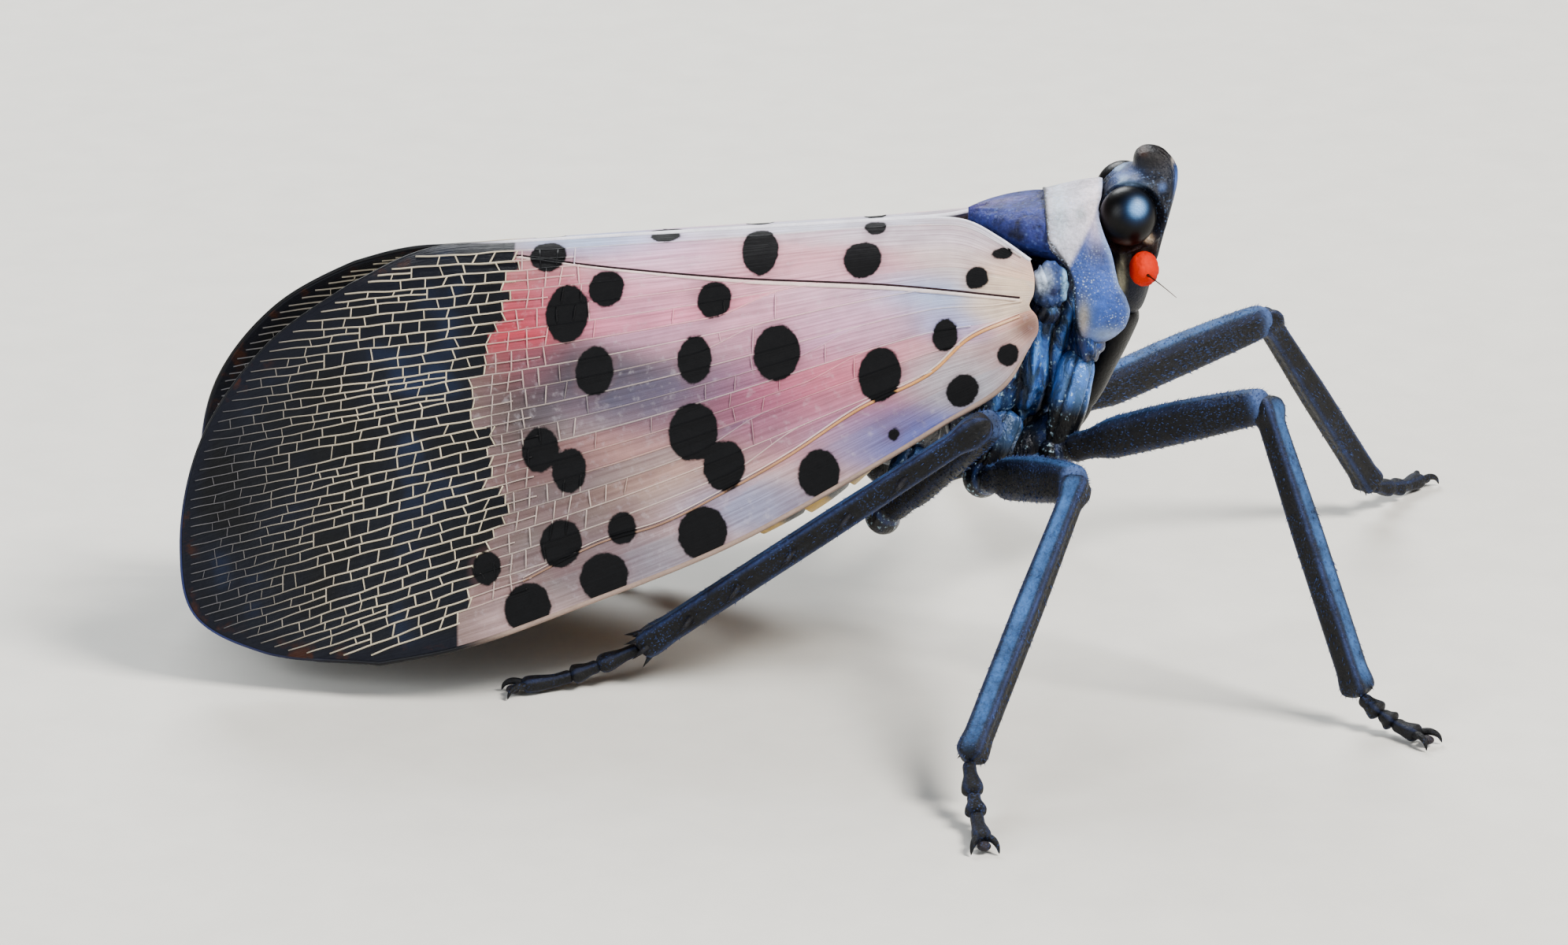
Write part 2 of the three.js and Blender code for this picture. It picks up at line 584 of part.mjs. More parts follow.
function makeLeg(leg, side, spined) {
  const coxaTop = place(leg.coxa, side);
  const hip = place(leg.hip, side);
  const knee = place(leg.knee, side);
  const heel = place(leg.heel, side);
  const tip = place(leg.tip, side);
  const thigh = knee.clone().sub(hip).normalize();

  const coxaPath = [coxaTop, coxaTop.clone().lerp(hip, 0.5), hip];
  const coxaBar = limb(coxaPath, [[0, 0.5, 0.55], [0.4, 0.48, 0.54], [0.8, 0.36, 0.38], [1, 0.32, 0.32]]);

  const femurStart = hip.clone().addScaledVector(thigh, leg.hipRadius + GAP);
  const femurEnd = knee.clone().addScaledVector(thigh, -leg.kneeRadius - GAP);
  const femurPath = [femurStart, femurStart.clone().lerp(femurEnd, 0.5), femurEnd];
  const f = leg.femur;
  const femurStations = [[0, 0.3, 0.3], [0.07, 0.4, 0.38], [0.14, 0.36, 0.34], [0.3, f, f * 0.92],
    [0.6, f, f * 0.95], [0.88, f * 0.84, f * 0.82], [1, f * 0.66, f * 0.66]];
  const femur = limb(femurPath, femurStations);
  const round = femurStations.map(([share, wide, deep]) => [share, wide + GAP, deep + GAP]);
  const roundStart = hip.clone().addScaledVector(thigh, leg.hipRadius + 0.04);
  const roundPath = [roundStart, roundStart.clone().lerp(femurEnd, 0.5), femurEnd];
  const coxa = cut(fuse(coxaBar, ellipsoid(hip, [leg.hipRadius, leg.hipRadius, leg.hipRadius], 8, 6)),
    trunk(MESOTHORAX, GAP), trunk(METATHORAX, GAP), limb(roundPath, round));

  const down = heel.clone().sub(knee);
  const outward = down.clone().addScaledVector(thigh, -down.dot(thigh)).normalize();
  const tibiaStart = knee.clone().addScaledVector(outward, leg.kneeOffset);
  const shin = heel.clone().sub(tibiaStart).normalize();
  const tibiaEnd = heel.clone().addScaledVector(shin, -leg.tarsus - GAP);
  const tibiaPath = [tibiaStart, tibiaStart.clone().lerp(tibiaEnd, 0.5), tibiaEnd];
  const t = leg.tibia;
  const bar = limb(tibiaPath, [[0, t * 0.85, t * 0.85], [0.12, t * 0.88, t * 0.88], [0.5, t, t],
    [0.9, t * 1.02, t * 1.02], [0.97, t * 1.15, t * 1.15], [1, t, t]], 8, 0.84);
  const pieces = [ellipsoid(knee, [leg.kneeRadius, leg.kneeRadius, leg.kneeRadius], 8, 6)];
  if (spined) {
    const outer = point(0, side, 0).addScaledVector(shin, -side * shin.y).normalize();
    for (const share of HIND_SPINES) {
      const root = tibiaStart.clone().lerp(tibiaEnd, share).addScaledVector(outer, t * 0.4);
      pieces.push(spine(root, root.clone().addScaledVector(outer, 0.62).addScaledVector(shin, 0.42), 0.17));
    }
    const binormal = shin.clone().cross(outer);
    for (let i = 0; i < CROWN_SPINES; i++) {
      const angle = (i / CROWN_SPINES) * 2 * Math.PI;
      const way = outer.clone().multiplyScalar(Math.cos(angle)).addScaledVector(binormal, Math.sin(angle));
      const root = tibiaEnd.clone().addScaledVector(shin, -0.35).addScaledVector(way, t * 0.7);
      pieces.push(spine(root, root.clone().addScaledVector(shin, 0.45).addScaledVector(way, 0.3), 0.13));
    }
  }
  const tibia = fuse(bar, ...pieces);

  const reach = tip.clone().sub(heel);
  const flatReach = point(reach.x, reach.y, 0).normalize();
  const tarsusPath = [heel, heel.clone().lerp(tip, 0.36), heel.clone().lerp(tip, 0.7), tip];
  tarsusPath[1].z = tip.z + 0.45 * (heel.z - tip.z);
  tarsusPath[2].z = tip.z + 0.04;
  const r = leg.tarsus;
  const foot = limb(tarsusPath, [[0, r * 0.8, r * 0.8], [0.16, r * 0.82, r * 0.8], [0.34, r, r * 0.95],
    [0.38, r * 0.66, r * 0.66], [0.56, r * 0.98, r * 0.95], [0.6, r * 0.64, r * 0.64], [0.88, r, r * 0.95],
    [1, r * 0.7, r * 0.7]]);
  const claws = [-1, 1].map((turn) => {
    const across = flatReach.clone().cross(point(0, 0, turn));
    const root = tip.clone().addScaledVector(flatReach, -0.15).addScaledVector(across, 0.12);
    const hook = root.clone().addScaledVector(flatReach, 0.5).addScaledVector(across, 0.22);
    hook.z = 0.1;
    return spine(root, hook, 0.12);
  });
  const sunk = block([-30, -30, -2], [30, 30, 0]);
  const tarsus = cut(fuse(foot, ellipsoid(heel, [r, r, r], 8, 6), ...claws), sunk);
  return { coxa, femur, tibia, tarsus };
}

// Colours and finish

const finish = (color, roughness, metalness = 0) => new THREE.MeshStandardMaterial({ color, roughness, metalness });
const cuticle = () => finish(0x2a3346, 0.5, 0.1);
const wingRose = () => finish(0xb79a98, 0.6);

const lanternfly = new THREE.Group();

function add(name, geometry, material) {
  const mesh = new THREE.Mesh(geometry, material);
  mesh.name = name;
  lanternfly.add(mesh);
}

add('head', makeHead(), finish(0x3c4a5e, 0.45, 0.1));
add('rostrum', makeBeak(), finish(0x15161c, 0.4));
add('pronotum', makePronotum(), finish(0x9aa0ac, 0.55));
add('mesothorax', makeMesothorax(), finish(0x39507a, 0.4, 0.15));
add('metathorax', makeMetathorax(), finish(0x2a3040, 0.5));
add('abdomen', makeAbdomen(), finish(0xb09a3c, 0.5));

for (const [side, word] of [[RIGHT, 'right'], [LEFT, 'left']]) {
  add(`eye_${word}`, eyeball(side, 0), finish(0x1c1614, 0.15));
  add(`antenna_${word}`, makeAntenna(side), finish(0xe8481c, 0.4));
  add(`tegmen_${word}`, makeTegmen(side), wingRose());
  add(`hindwing_${word}`, makeHindwing(side), finish(0xa8342c, 0.6));
  for (const [pair, leg] of Object.entries(LEGS)) {
    const stance = pair === 'fore' && side === LEFT ? { ...leg, ...LEFT_FORE } : leg;
    const pieces = makeLeg(stance, side, pair === 'hind');
    for (const [part, geometry] of Object.entries(pieces)) {
      add(`${part}_${pair}_${word}`, geometry, cuticle());
    }
  }
}

// The origin is under the middle of the whole insect, on the floor.
const bounds = new THREE.Box3().setFromObject(lanternfly);
lanternfly.position.set(-(bounds.min.x + bounds.max.x) / 2, -(bounds.min.y + bounds.max.y) / 2, 0);

export default lanternfly;
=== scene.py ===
import math

import bpy
import numpy as np
from bpy.props import FloatProperty, FloatVectorProperty, IntProperty, PointerProperty
from mathutils import Matrix, Vector


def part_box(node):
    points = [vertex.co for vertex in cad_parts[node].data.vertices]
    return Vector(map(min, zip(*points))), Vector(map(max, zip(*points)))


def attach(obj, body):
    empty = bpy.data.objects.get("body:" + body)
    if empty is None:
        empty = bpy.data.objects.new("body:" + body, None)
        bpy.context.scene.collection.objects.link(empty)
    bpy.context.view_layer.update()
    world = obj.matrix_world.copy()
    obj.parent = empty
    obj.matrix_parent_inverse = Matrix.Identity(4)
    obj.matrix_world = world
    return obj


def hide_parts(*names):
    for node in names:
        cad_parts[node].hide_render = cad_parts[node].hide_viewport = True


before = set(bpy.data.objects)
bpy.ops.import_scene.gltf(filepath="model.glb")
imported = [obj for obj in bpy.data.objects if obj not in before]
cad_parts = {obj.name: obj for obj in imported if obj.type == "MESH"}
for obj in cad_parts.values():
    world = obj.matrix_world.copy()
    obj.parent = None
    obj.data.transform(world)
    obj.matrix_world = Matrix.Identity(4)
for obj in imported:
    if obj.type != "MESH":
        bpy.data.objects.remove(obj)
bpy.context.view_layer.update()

bl_info = {
    "name": "Spotted Lanternfly Model",
    "version": (1, 0, 0),
    "blender": (4, 5, 0),
    "location": "3D View > Sidebar > Lanternfly",
    "description": "A life-size spotted lanternfly, standing with its wings closed",
    "category": "Add Mesh",
}

# Millimetres, +X to the head, +Y to the insect's left, +Z up, feet on z = 0.
# A place is written for the right side (y below 0), and copies are mirrored for the left.

MM = 0.001
EYE_CENTRE = (8.19, -1.17, 11.05)
EYE_RADII = (0.64, 0.6, 0.69)
eye_low, eye_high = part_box("eye_right")
SHIFT = (eye_low.x + eye_high.x) / 2 - EYE_CENTRE[0] * MM


def placed(points):
    """Millimetres beside the insect's own axes, turned into metres in the frame."""
    return np.asarray(points) * MM + np.array([SHIFT, 0, 0])


def measured(piece):
    """A piece's vertices, back in millimetres beside the insect's own axes."""
    spots = np.empty(len(piece.data.vertices) * 3)
    piece.data.vertices.foreach_get("co", spots)
    return (spots.reshape(-1, 3) - np.array([SHIFT, 0, 0])) / MM


# Where the head's round parts are seen
EYE_SEEN = (8.06, -1.02, 10.87)
EYE_SEEN_RADII = (0.67, 0.62, 0.71)


# Numbers that change smoothly

def ease(a, b, x):
    t = np.clip((np.asarray(x, float) - a) / (b - a), 0, 1)
    return t * t * (3 - 2 * t)


def mix(a, b, share):
    return a + (b - a) * share


def unit(vectors):
    return vectors / np.maximum(np.linalg.norm(vectors, axis=-1, keepdims=True), 1e-12)


def hill(distance, width):
    """1 where the distance is 0, falling off to nothing over about twice the width."""
    return np.exp(-(distance / width) ** 2)


def profile(rows, t):
    """Values at t of a table of (t, value, value, ...) rows, smooth and without overshoot."""
    rows = np.asarray(rows, float)
    at, values = rows[:, 0], rows[:, 1:]
    steps = np.diff(at)[:, None]
    slopes = np.diff(values, axis=0) / steps
    inner = np.where(slopes[1:] * slopes[:-1] > 0,
                     2 * slopes[1:] * slopes[:-1] / np.where(slopes[1:] + slopes[:-1] == 0, 1, slopes[1:] + slopes[:-1]), 0)
    bend = np.vstack([slopes[:1], inner, slopes[-1:]])
    t = np.clip(np.asarray(t, float), at[0], at[-1])
    k = np.clip(np.searchsorted(at, t, side="right") - 1, 0, len(at) - 2)
    h = steps[k, 0][:, None] if t.ndim else steps[k, 0]
    u = ((t - at[k]) / steps[k, 0])[..., None]
    a = values[k] * (2 * u ** 3 - 3 * u ** 2 + 1) + values[k + 1] * (3 * u ** 2 - 2 * u ** 3)
    b = h * (bend[k] * (u ** 3 - 2 * u ** 2 + u) + bend[k + 1] * (u ** 3 - u ** 2))
    return np.moveaxis(a + b, -1, 0)


class Path:
    """A smooth line through points, read by its share of length from 0 to 1."""

    def __init__(self, points, steps=40):
        p = np.asarray(points, float)
        p = np.vstack([2 * p[0] - p[1], p, 2 * p[-1] - p[-2]])
        t = np.linspace(0, 1, steps, endpoint=False)[:, None]
        parts = []
        for a, b, c, d in zip(p, p[1:], p[2:], p[3:]):
            first, middle, last = (max(np.linalg.norm(e), 1e-9) ** 0.5 for e in (b - a, c - b, d - c))
            leave = ((b - a) / first - (c - a) / (first + middle) + (c - b) / middle) * middle
            enter = ((c - b) / middle - (d - b) / (middle + last) + (d - c) / last) * middle
            parts.append((2 * t ** 3 - 3 * t ** 2 + 1) * b + (t ** 3 - 2 * t ** 2 + t) * leave
                         + (3 * t ** 2 - 2 * t ** 3) * c + (t ** 3 - t ** 2) * enter)
        self.spots = np.vstack(parts + [p[-2:-1]])
        run = np.linalg.norm(np.diff(self.spots, axis=0), axis=1).cumsum()
        self.length = run[-1]
        self.shares = np.concatenate([[0], run / run[-1]])

    def at(self, share):
        share = np.clip(share, 0, 1)
        return np.stack([np.interp(share, self.shares, values) for values in self.spots.T], axis=-1)

    def ahead(self, share):
        reach = 0.02
        return unit(self.at(np.minimum(share + reach, 1)) - self.at(np.maximum(share - reach, 0)))


# Pieces: a primitive is added, cut finer in edit mode, and its vertices are then moved to their places.

def deselect():
    if bpy.context.mode != "OBJECT":
        bpy.ops.object.mode_set(mode="OBJECT")
    bpy.ops.object.select_all(action="DESELECT")


def active(name):
    piece = bpy.context.object
    piece.name = name
    piece.data.name = name
    return piece


def move(piece, spots):
    piece.data.vertices.foreach_set("co", placed(spots).ravel())
    piece.data.update()


def local(piece):
    spots = np.empty(len(piece.data.vertices) * 3)
    piece.data.vertices.foreach_get("co", spots)
    return spots.reshape(-1, 3)


def store(piece, name, values):
    """Keeps a number or a colour with each vertex, for the materials to read."""
    values = np.asarray(values, float)
    if values.ndim == 1:
        attribute = piece.data.attributes.new(name, "FLOAT", "POINT")
        attribute.data.foreach_set("value", values)
    else:
        attribute = piece.data.attributes.new(name, "FLOAT_COLOR", "POINT")
        attribute.data.foreach_set("color", np.hstack([values, np.ones((len(values), 1))]).ravel())


def stored(piece, name):
    """A number kept with each vertex."""
    values = np.empty(len(piece.data.vertices))
    piece.data.attributes[name].data.foreach_get("value", values)
    return values


def sheet(name, columns, rows, form):
    """A grid whose (p, q), each from 0 to 1, is moved to form(p, q)."""
    deselect()
    bpy.ops.mesh.primitive_grid_add(x_subdivisions=columns, y_subdivisions=rows, size=2, calc_uvs=True)
    piece = active(name)
    p, q = (local(piece)[:, :2].T + 1) / 2
    move(piece, form(p, q))
    return piece


def bar(name, sides, cuts, form):
    """A cylinder with cuts round it, whose (angle, share of length, radius) is moved to form(...)."""
    deselect()
    bpy.ops.mesh.primitive_cylinder_add(vertices=sides, radius=1, depth=2, end_fill_type="TRIFAN")
    piece = active(name)
    mesh = piece.data
    upright = [abs(mesh.vertices[a].co.z - mesh.vertices[b].co.z) > 1 for a, b in (e.vertices for e in mesh.edges)]
    for part, flags in ((mesh.vertices, None), (mesh.polygons, None), (mesh.edges, upright)):
        part.foreach_set("select", flags or [False] * len(part))
    bpy.context.tool_settings.mesh_select_mode = (False, True, False)
    bpy.ops.object.mode_set(mode="EDIT")
    bpy.ops.mesh.subdivide(number_cuts=cuts)
    bpy.ops.object.mode_set(mode="OBJECT")
    x, y, z = local(piece).T
    radius = np.where(np.hypot(x, y) > 0.5, 1.0, 0.0)
    move(piece, form(np.arctan2(y, x), (z + 1) / 2, radius))
    return piece


def tidy_normals(piece):
    """Merges doubles and turns the faces of a closed piece outward."""
    deselect()
    bpy.context.view_layer.objects.active = piece
    piece.select_set(True)
    bpy.ops.object.mode_set(mode="EDIT")
    bpy.ops.mesh.select_all(action="SELECT")
    bpy.ops.mesh.remove_doubles(threshold=1e-7)
    bpy.ops.mesh.normals_make_consistent(inside=False)
    bpy.ops.object.mode_set(mode="OBJECT")


def smooth(piece):
    deselect()
    bpy.context.view_layer.objects.active = piece
    piece.select_set(True)
    bpy.ops.object.shade_smooth()


def modified(piece, kind, **settings):
    """Adds a modifier and applies it."""
    deselect()
    bpy.context.view_layer.objects.active = piece
    piece.select_set(True)
    modifier = piece.modifiers.new(kind.title(), kind)
    for key, value in settings.items():
        setattr(modifier, key, value)
    bpy.ops.object.modifier_apply(modifier=modifier.name)


def thicken(piece, thickness, outward):
    """Gives an open sheet a wall on its inner side, the side away from the outward direction."""
    mesh = piece.data
    normals = np.empty(len(mesh.polygons) * 3)
    mesh.polygons.foreach_get("normal", normals)
    if normals.reshape(-1, 3).mean(axis=0) @ np.asarray(outward, float) < 0:
        mesh.flip_normals()
    modified(piece, "SOLIDIFY", thickness=thickness * MM, offset=-1)


def joined(name, pieces):
    deselect()
    for piece in pieces:
        piece.select_set(True)
    bpy.context.view_layer.objects.active = pieces[0]
    if len(pieces) > 1:
        bpy.ops.object.join()
    return active(name)


def mirrored(piece, name):
    """A copy on the insect's other side, with its own mesh."""
    twin = piece.copy()
    twin.data = piece.data.copy()
    twin.name = name
    twin.data.name = name
    bpy.context.collection.objects.link(twin)
    twin.data.transform(Matrix.Diagonal((1, -1, 1, 1)))
    twin.data.flip_normals()
    return twin


def from_arrays(name, spots, faces):
    mesh = bpy.data.meshes.new(name)
    mesh.from_pydata(placed(spots).tolist(), [], [[int(corner) for corner in face] for face in faces])
    piece = bpy.data.objects.new(name, mesh)
    bpy.context.collection.objects.link(piece)
    return piece


def finished(piece, material, slot, *nodes):
    """Gives a piece its material and ties it to the frame."""
    piece.data.materials.clear()
    piece.data.materials.append(material)
    if nodes:
        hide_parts(*nodes)
    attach(piece, "root")


def limb(name, points, stations, sides=24, cuts=48, up=(0, 0, 1), relief=None, sole=None):
    """A round bar along a path, with stations of (share, half width, half depth) and rounded ends."""
    path = Path(points)
    up = np.asarray(up, float)
    keep = {}

    def form(angle, share, radius):
        t = 0.5 - 0.5 * np.cos(np.pi * share)
        centre, ahead = path.at(t), path.ahead(t)
        side = unit(np.cross(ahead, up))
        top = np.cross(side, ahead)
        wide, deep = profile(stations, t)
        cap = 0.7 * max(stations[0][1], stations[-1][1])
        from_end = np.minimum(t, 1 - t) * path.length
        swell = np.sqrt(np.clip(1 - (1 - np.minimum(from_end / cap, 1)) ** 2, 0.0004, 1)) * radius
        if relief:
            swell = swell * relief(angle, t)
        keep.update(angle=angle, share=t)
        spots = centre + side * (np.cos(angle) * wide * swell)[:, None] + top * (np.sin(angle) * deep * swell)[:, None]
        if sole is not None:
            spots[:, 2] = np.maximum(spots[:, 2], sole)
        return spots

    piece = bar(name, sides, cuts, form)
    store(piece, "angle", keep["angle"])
    store(piece, "share", keep["share"])
    tidy_normals(piece)
    smooth(piece)
    return piece


def ball(name, centre, radii, segments=48, rings=32, form=None):
    """A round piece; form(unit places) may change the shares of the radii."""
    deselect()
    bpy.ops.mesh.primitive_uv_sphere_add(segments=segments, ring_count=rings, radius=1)
    piece = active(name)
    ways = local(piece)
    spots = ways if form is None else ways * form(ways)[:, None]
    move(piece, spots * np.array(radii) + np.array(centre))
    smooth(piece)
    return piece


def spikes(name, roots, ways, lengths, radius, sides=5):
    """Many thin cones in one mesh, each at its root and along its way."""
    deselect()
    bpy.ops.mesh.primitive_cone_add(vertices=sides, radius1=1, radius2=0, depth=1)
    cone = bpy.context.object
    base = local(cone) + np.array([0, 0, 0.5])
    triangles = [list(f.vertices) for f in cone.data.polygons]
    bpy.data.objects.remove(cone)
    ways = unit(ways)
    seed = np.where(np.abs(ways[:, 2:]) < 0.9, [[0, 0, 1.0]], [[1.0, 0, 0]])
    side = unit(np.cross(ways, seed))
    other = np.cross(ways, side)
    width = np.broadcast_to(radius, lengths.shape)[:, None, None]
    spots = (roots[:, None] + base[None, :, :1] * side[:, None] * width + base[None, :, 1:2] * other[:, None] * width
             + base[None, :, 2:] * ways[:, None] * lengths[:, None, None])
    count = len(base)
    mesh = bpy.data.meshes.new(name)
    faces = [[v + k * count for v in f] for k in range(len(roots)) for f in triangles]
    mesh.from_pydata(placed(spots.reshape(-1, 3)).tolist(), [], faces)
    piece = bpy.data.objects.new(name, mesh)
    bpy.context.collection.objects.link(piece)
    tidy_normals(piece)
    smooth(piece)
    return piece


# Colours

DEEPEN = 1.3


def rgb(colour):
    """A colour as screens show it, three shares from 0 to 1, turned into linear light.

    It is made a little deeper than it looks, because studio light and the render's view soften it.
    """
    c = np.asarray(colour[:3], float)
    return np.where(c <= 0.04045, c / 12.92, ((c + 0.055) / 1.055) ** 2.4) ** DEEPEN


def shade(red, green, blue):
    return rgb((red / 255, green / 255, blue / 255))


def paint(piece, base, patches, both_sides=True):
    """Lays soft patches of (centre, radii, colour, strength) over a base colour."""
    spots = measured(piece)
    if both_sides:
        spots[:, 1] = -np.abs(spots[:, 1])
    tint = np.tile(base, (len(spots), 1))
    for centre, radii, colour, strength in patches:
        far = (((spots - np.array(centre)) / np.array(radii)) ** 2).sum(axis=1)
        share = (strength * np.exp(-far ** 1.5))[:, None]
        tint = mix(tint, colour, share)
    store(piece, "tint", tint)


# Material nodes

def node(tree, kind, sockets=None, **settings):
    """Adds a shader node, with its settings, and its sockets set to a value or linked."""
    made = tree.nodes.new("ShaderNode" + kind)
    for key, value in settings.items():
        setattr(made, key, value)
    for key, value in (sockets or {}).items():
        if isinstance(value, bpy.types.NodeSocket):
            tree.links.new(value, made.inputs[key])
        else:
            made.inputs[key].default_value = value
    return made


def rgba(colour):
    return (*[float(c) for c in colour], 1.0)


def ramp(tree, value, stops):
    made = node(tree, "ValToRGB", {"Fac": value})
    line = made.color_ramp
    while len(line.elements) < len(stops):
        line.elements.new(0.5)
    for element, (place, colour) in zip(line.elements, stops):
        element.position = place
        element.color = rgba(colour) if np.ndim(colour) else (colour, colour, colour, 1)
    return made.outputs["Color"]


def steps(tree, value, low, high):
    """A value turned into a share, 0 at low and 1 at high."""
    made = node(tree, "MapRange", {"Value": value, "From Min": low, "From Max": high}, interpolation_type="SMOOTHSTEP")
    return made.outputs["Result"]


def math_node(tree, operation, a, b=0.0):
    return node(tree, "Math", {0: a, 1: b}, operation=operation).outputs[0]


def blend(tree, share, a, b, kind="MIX"):
    made = tree.nodes.new("ShaderNodeMix")
    made.data_type = "RGBA"
    made.blend_type = kind
    for key, value in ((0, share), (6, a), (7, b)):
        if isinstance(value, bpy.types.NodeSocket):
            tree.links.new(value, made.inputs[key])
        else:
            made.inputs[key].default_value = value
    return made.outputs[2]


def per_mm(count):
    """A texture scale on coordinates in metres, for so many features a millimetre."""
    return count / MM


def cloud(tree, where, count, detail=4.0, roughness=0.6, distortion=0.0):
    made = node(tree, "TexNoise", {"Vector": where, "Scale": per_mm(count), "Detail": detail,
                                   "Roughness": roughness, "Distortion": distortion})
    return made.outputs["Fac"]


def new_group(name, inputs, outputs):
    tree = bpy.data.node_groups.new(name, "ShaderNodeTree")
    for label, kind, default in inputs:
        socket = tree.interface.new_socket(name=label, in_out="INPUT", socket_type="NodeSocket" + kind)
        if default is not None:
            socket.default_value = default
    for label, kind in outputs:
        tree.interface.new_socket(name=label, in_out="OUTPUT", socket_type="NodeSocket" + kind)
    return tree, node_plain(tree, "NodeGroupInput"), node_plain(tree, "NodeGroupOutput")


def node_plain(tree, kind):
    return tree.nodes.new(kind)


def build_mottle():
    """Cloudy and grainy change over a colour, with a height for the bump."""
    tree, enter, leave = new_group(
        "Mottle",
        [("Colour", "Color", (0.5, 0.5, 0.5, 1)), ("Cloud scale", "Float", per_mm(1.5)),
         ("Grain scale", "Float", per_mm(14)), ("Amount", "Float", 0.4)],
        [("Colour", "Color"), ("Height", "Float")])
    where = node(tree, "TexCoord").outputs["Object"]
    broad = node(tree, "TexNoise", {"Vector": where, "Scale": enter.outputs["Cloud scale"], "Detail": 3.0}).outputs["Fac"]
    fine = node(tree, "TexNoise", {"Vector": where, "Scale": enter.outputs["Grain scale"], "Detail": 5.0,
                                   "Roughness": 0.65}).outputs["Fac"]
    both = math_node(tree, "ADD", math_node(tree, "MULTIPLY", broad, 0.55), math_node(tree, "MULTIPLY", fine, 0.45))
    swing = math_node(tree, "MULTIPLY", math_node(tree, "SUBTRACT", both, 0.5), enter.outputs["Amount"])
    factor = math_node(tree, "ADD", math_node(tree, "MULTIPLY", swing, 4.0), 1.0)
    made = node(tree, "VectorMath", {0: enter.outputs["Colour"]}, operation="SCALE")
    tree.links.new(factor, made.inputs["Scale"])
    tree.links.new(made.outputs[0], leave.inputs["Colour"])
    tree.links.new(fine, leave.inputs["Height"])
    return tree


def build_bloom():
    """Pale wax dust in small flecks, thicker where the cloud is bright."""
    tree, enter, leave = new_group(
        "Wax bloom",
        [("Colour", "Color", (0.5, 0.5, 0.5, 1)), ("Wax", "Color", (0.6, 0.7, 0.8, 1)),
         ("Fleck scale", "Float", per_mm(9)), ("Cover", "Float", 0.3)],
        [("Colour", "Color"), ("Mask", "Float")])
    where = node(tree, "TexCoord").outputs["Object"]
    flecks = node(tree, "TexVoronoi", {"Vector": where, "Scale": enter.outputs["Fleck scale"], "Randomness": 1.0})
    spread = node(tree, "TexNoise", {"Vector": where, "Scale": per_mm(1.1), "Detail": 4.0}).outputs["Fac"]
    near = steps(tree, flecks.outputs["Distance"], 0.42, 0.12)
    patchy = steps(tree, spread, 0.38, 0.66)
    mask = math_node(tree, "MULTIPLY", math_node(tree, "MULTIPLY", near, patchy), enter.outputs["Cover"])
    tree.links.new(blend(tree, mask, enter.outputs["Colour"], enter.outputs["Wax"]), leave.inputs["Colour"])
    tree.links.new(mask, leave.inputs["Mask"])
    return tree


def grouped(tree, group, **sockets):
    made = tree.nodes.new("ShaderNodeGroup")
    made.node_tree = group
    for key, value in sockets.items():
        key = key.replace("_", " ")
        if isinstance(value, bpy.types.NodeSocket):
            tree.links.new(value, made.inputs[key])
        else:
            made.inputs[key].default_value = value
    return made


def new_material(name):
    material = bpy.data.materials.new(name)
    material.use_nodes = True
    return material, material.node_tree, material.node_tree.nodes["Principled BSDF"]


def attribute(tree, name):
    return node(tree, "Attribute", attribute_name=name)


def bump(tree, shader, height, distance, strength=1.0):
    made = node(tree, "Bump", {"Height": height, "Distance": distance * MM, "Strength": strength})
    tree.links.new(made.outputs["Normal"], shader.inputs["Normal"])


def cuticle(name, roughness=0.45, metallic=0.0, coat=0.0, amount=0.4, cloud_count=1.5, grain_count=14,
            relief=0.02, wax=None, cover=0.0, fleck_count=9, specular=0.35):
    """The body's hard skin: its painted colour with mottling, wax dust and a fine grain."""
    material, tree, shader = new_material(name)
    groups = bpy.data.node_groups
    mottle = grouped(tree, groups["Mottle"], Colour=attribute(tree, "tint").outputs["Color"],
                     Cloud_scale=per_mm(cloud_count), Grain_scale=per_mm(grain_count), Amount=amount)
    colour = mottle.outputs["Colour"]
    rough = math_node(tree, "MULTIPLY_ADD", mottle.outputs["Height"], 0.35)
    rough.node.inputs[2].default_value = roughness - 0.17
    if wax is not None:
        if isinstance(cover, str):
            cover = attribute(tree, cover).outputs["Fac"]
        dust = grouped(tree, groups["Wax bloom"], Colour=colour, Wax=rgba(wax), Fleck_scale=per_mm(fleck_count),
                       Cover=cover)
        colour = dust.outputs["Colour"]
        rough = math_node(tree, "ADD", rough, math_node(tree, "MULTIPLY", dust.outputs["Mask"], 0.25))
    tree.links.new(colour, shader.inputs["Base Color"])
    tree.links.new(rough, shader.inputs["Roughness"])
    shader.inputs["Metallic"].default_value = metallic
    shader.inputs["Specular IOR Level"].default_value = specular
    shader.inputs["Coat Weight"].default_value = coat
    shader.inputs["Coat Roughness"].default_value = 0.15
    bump(tree, shader, mottle.outputs["Height"], relief)
    return material


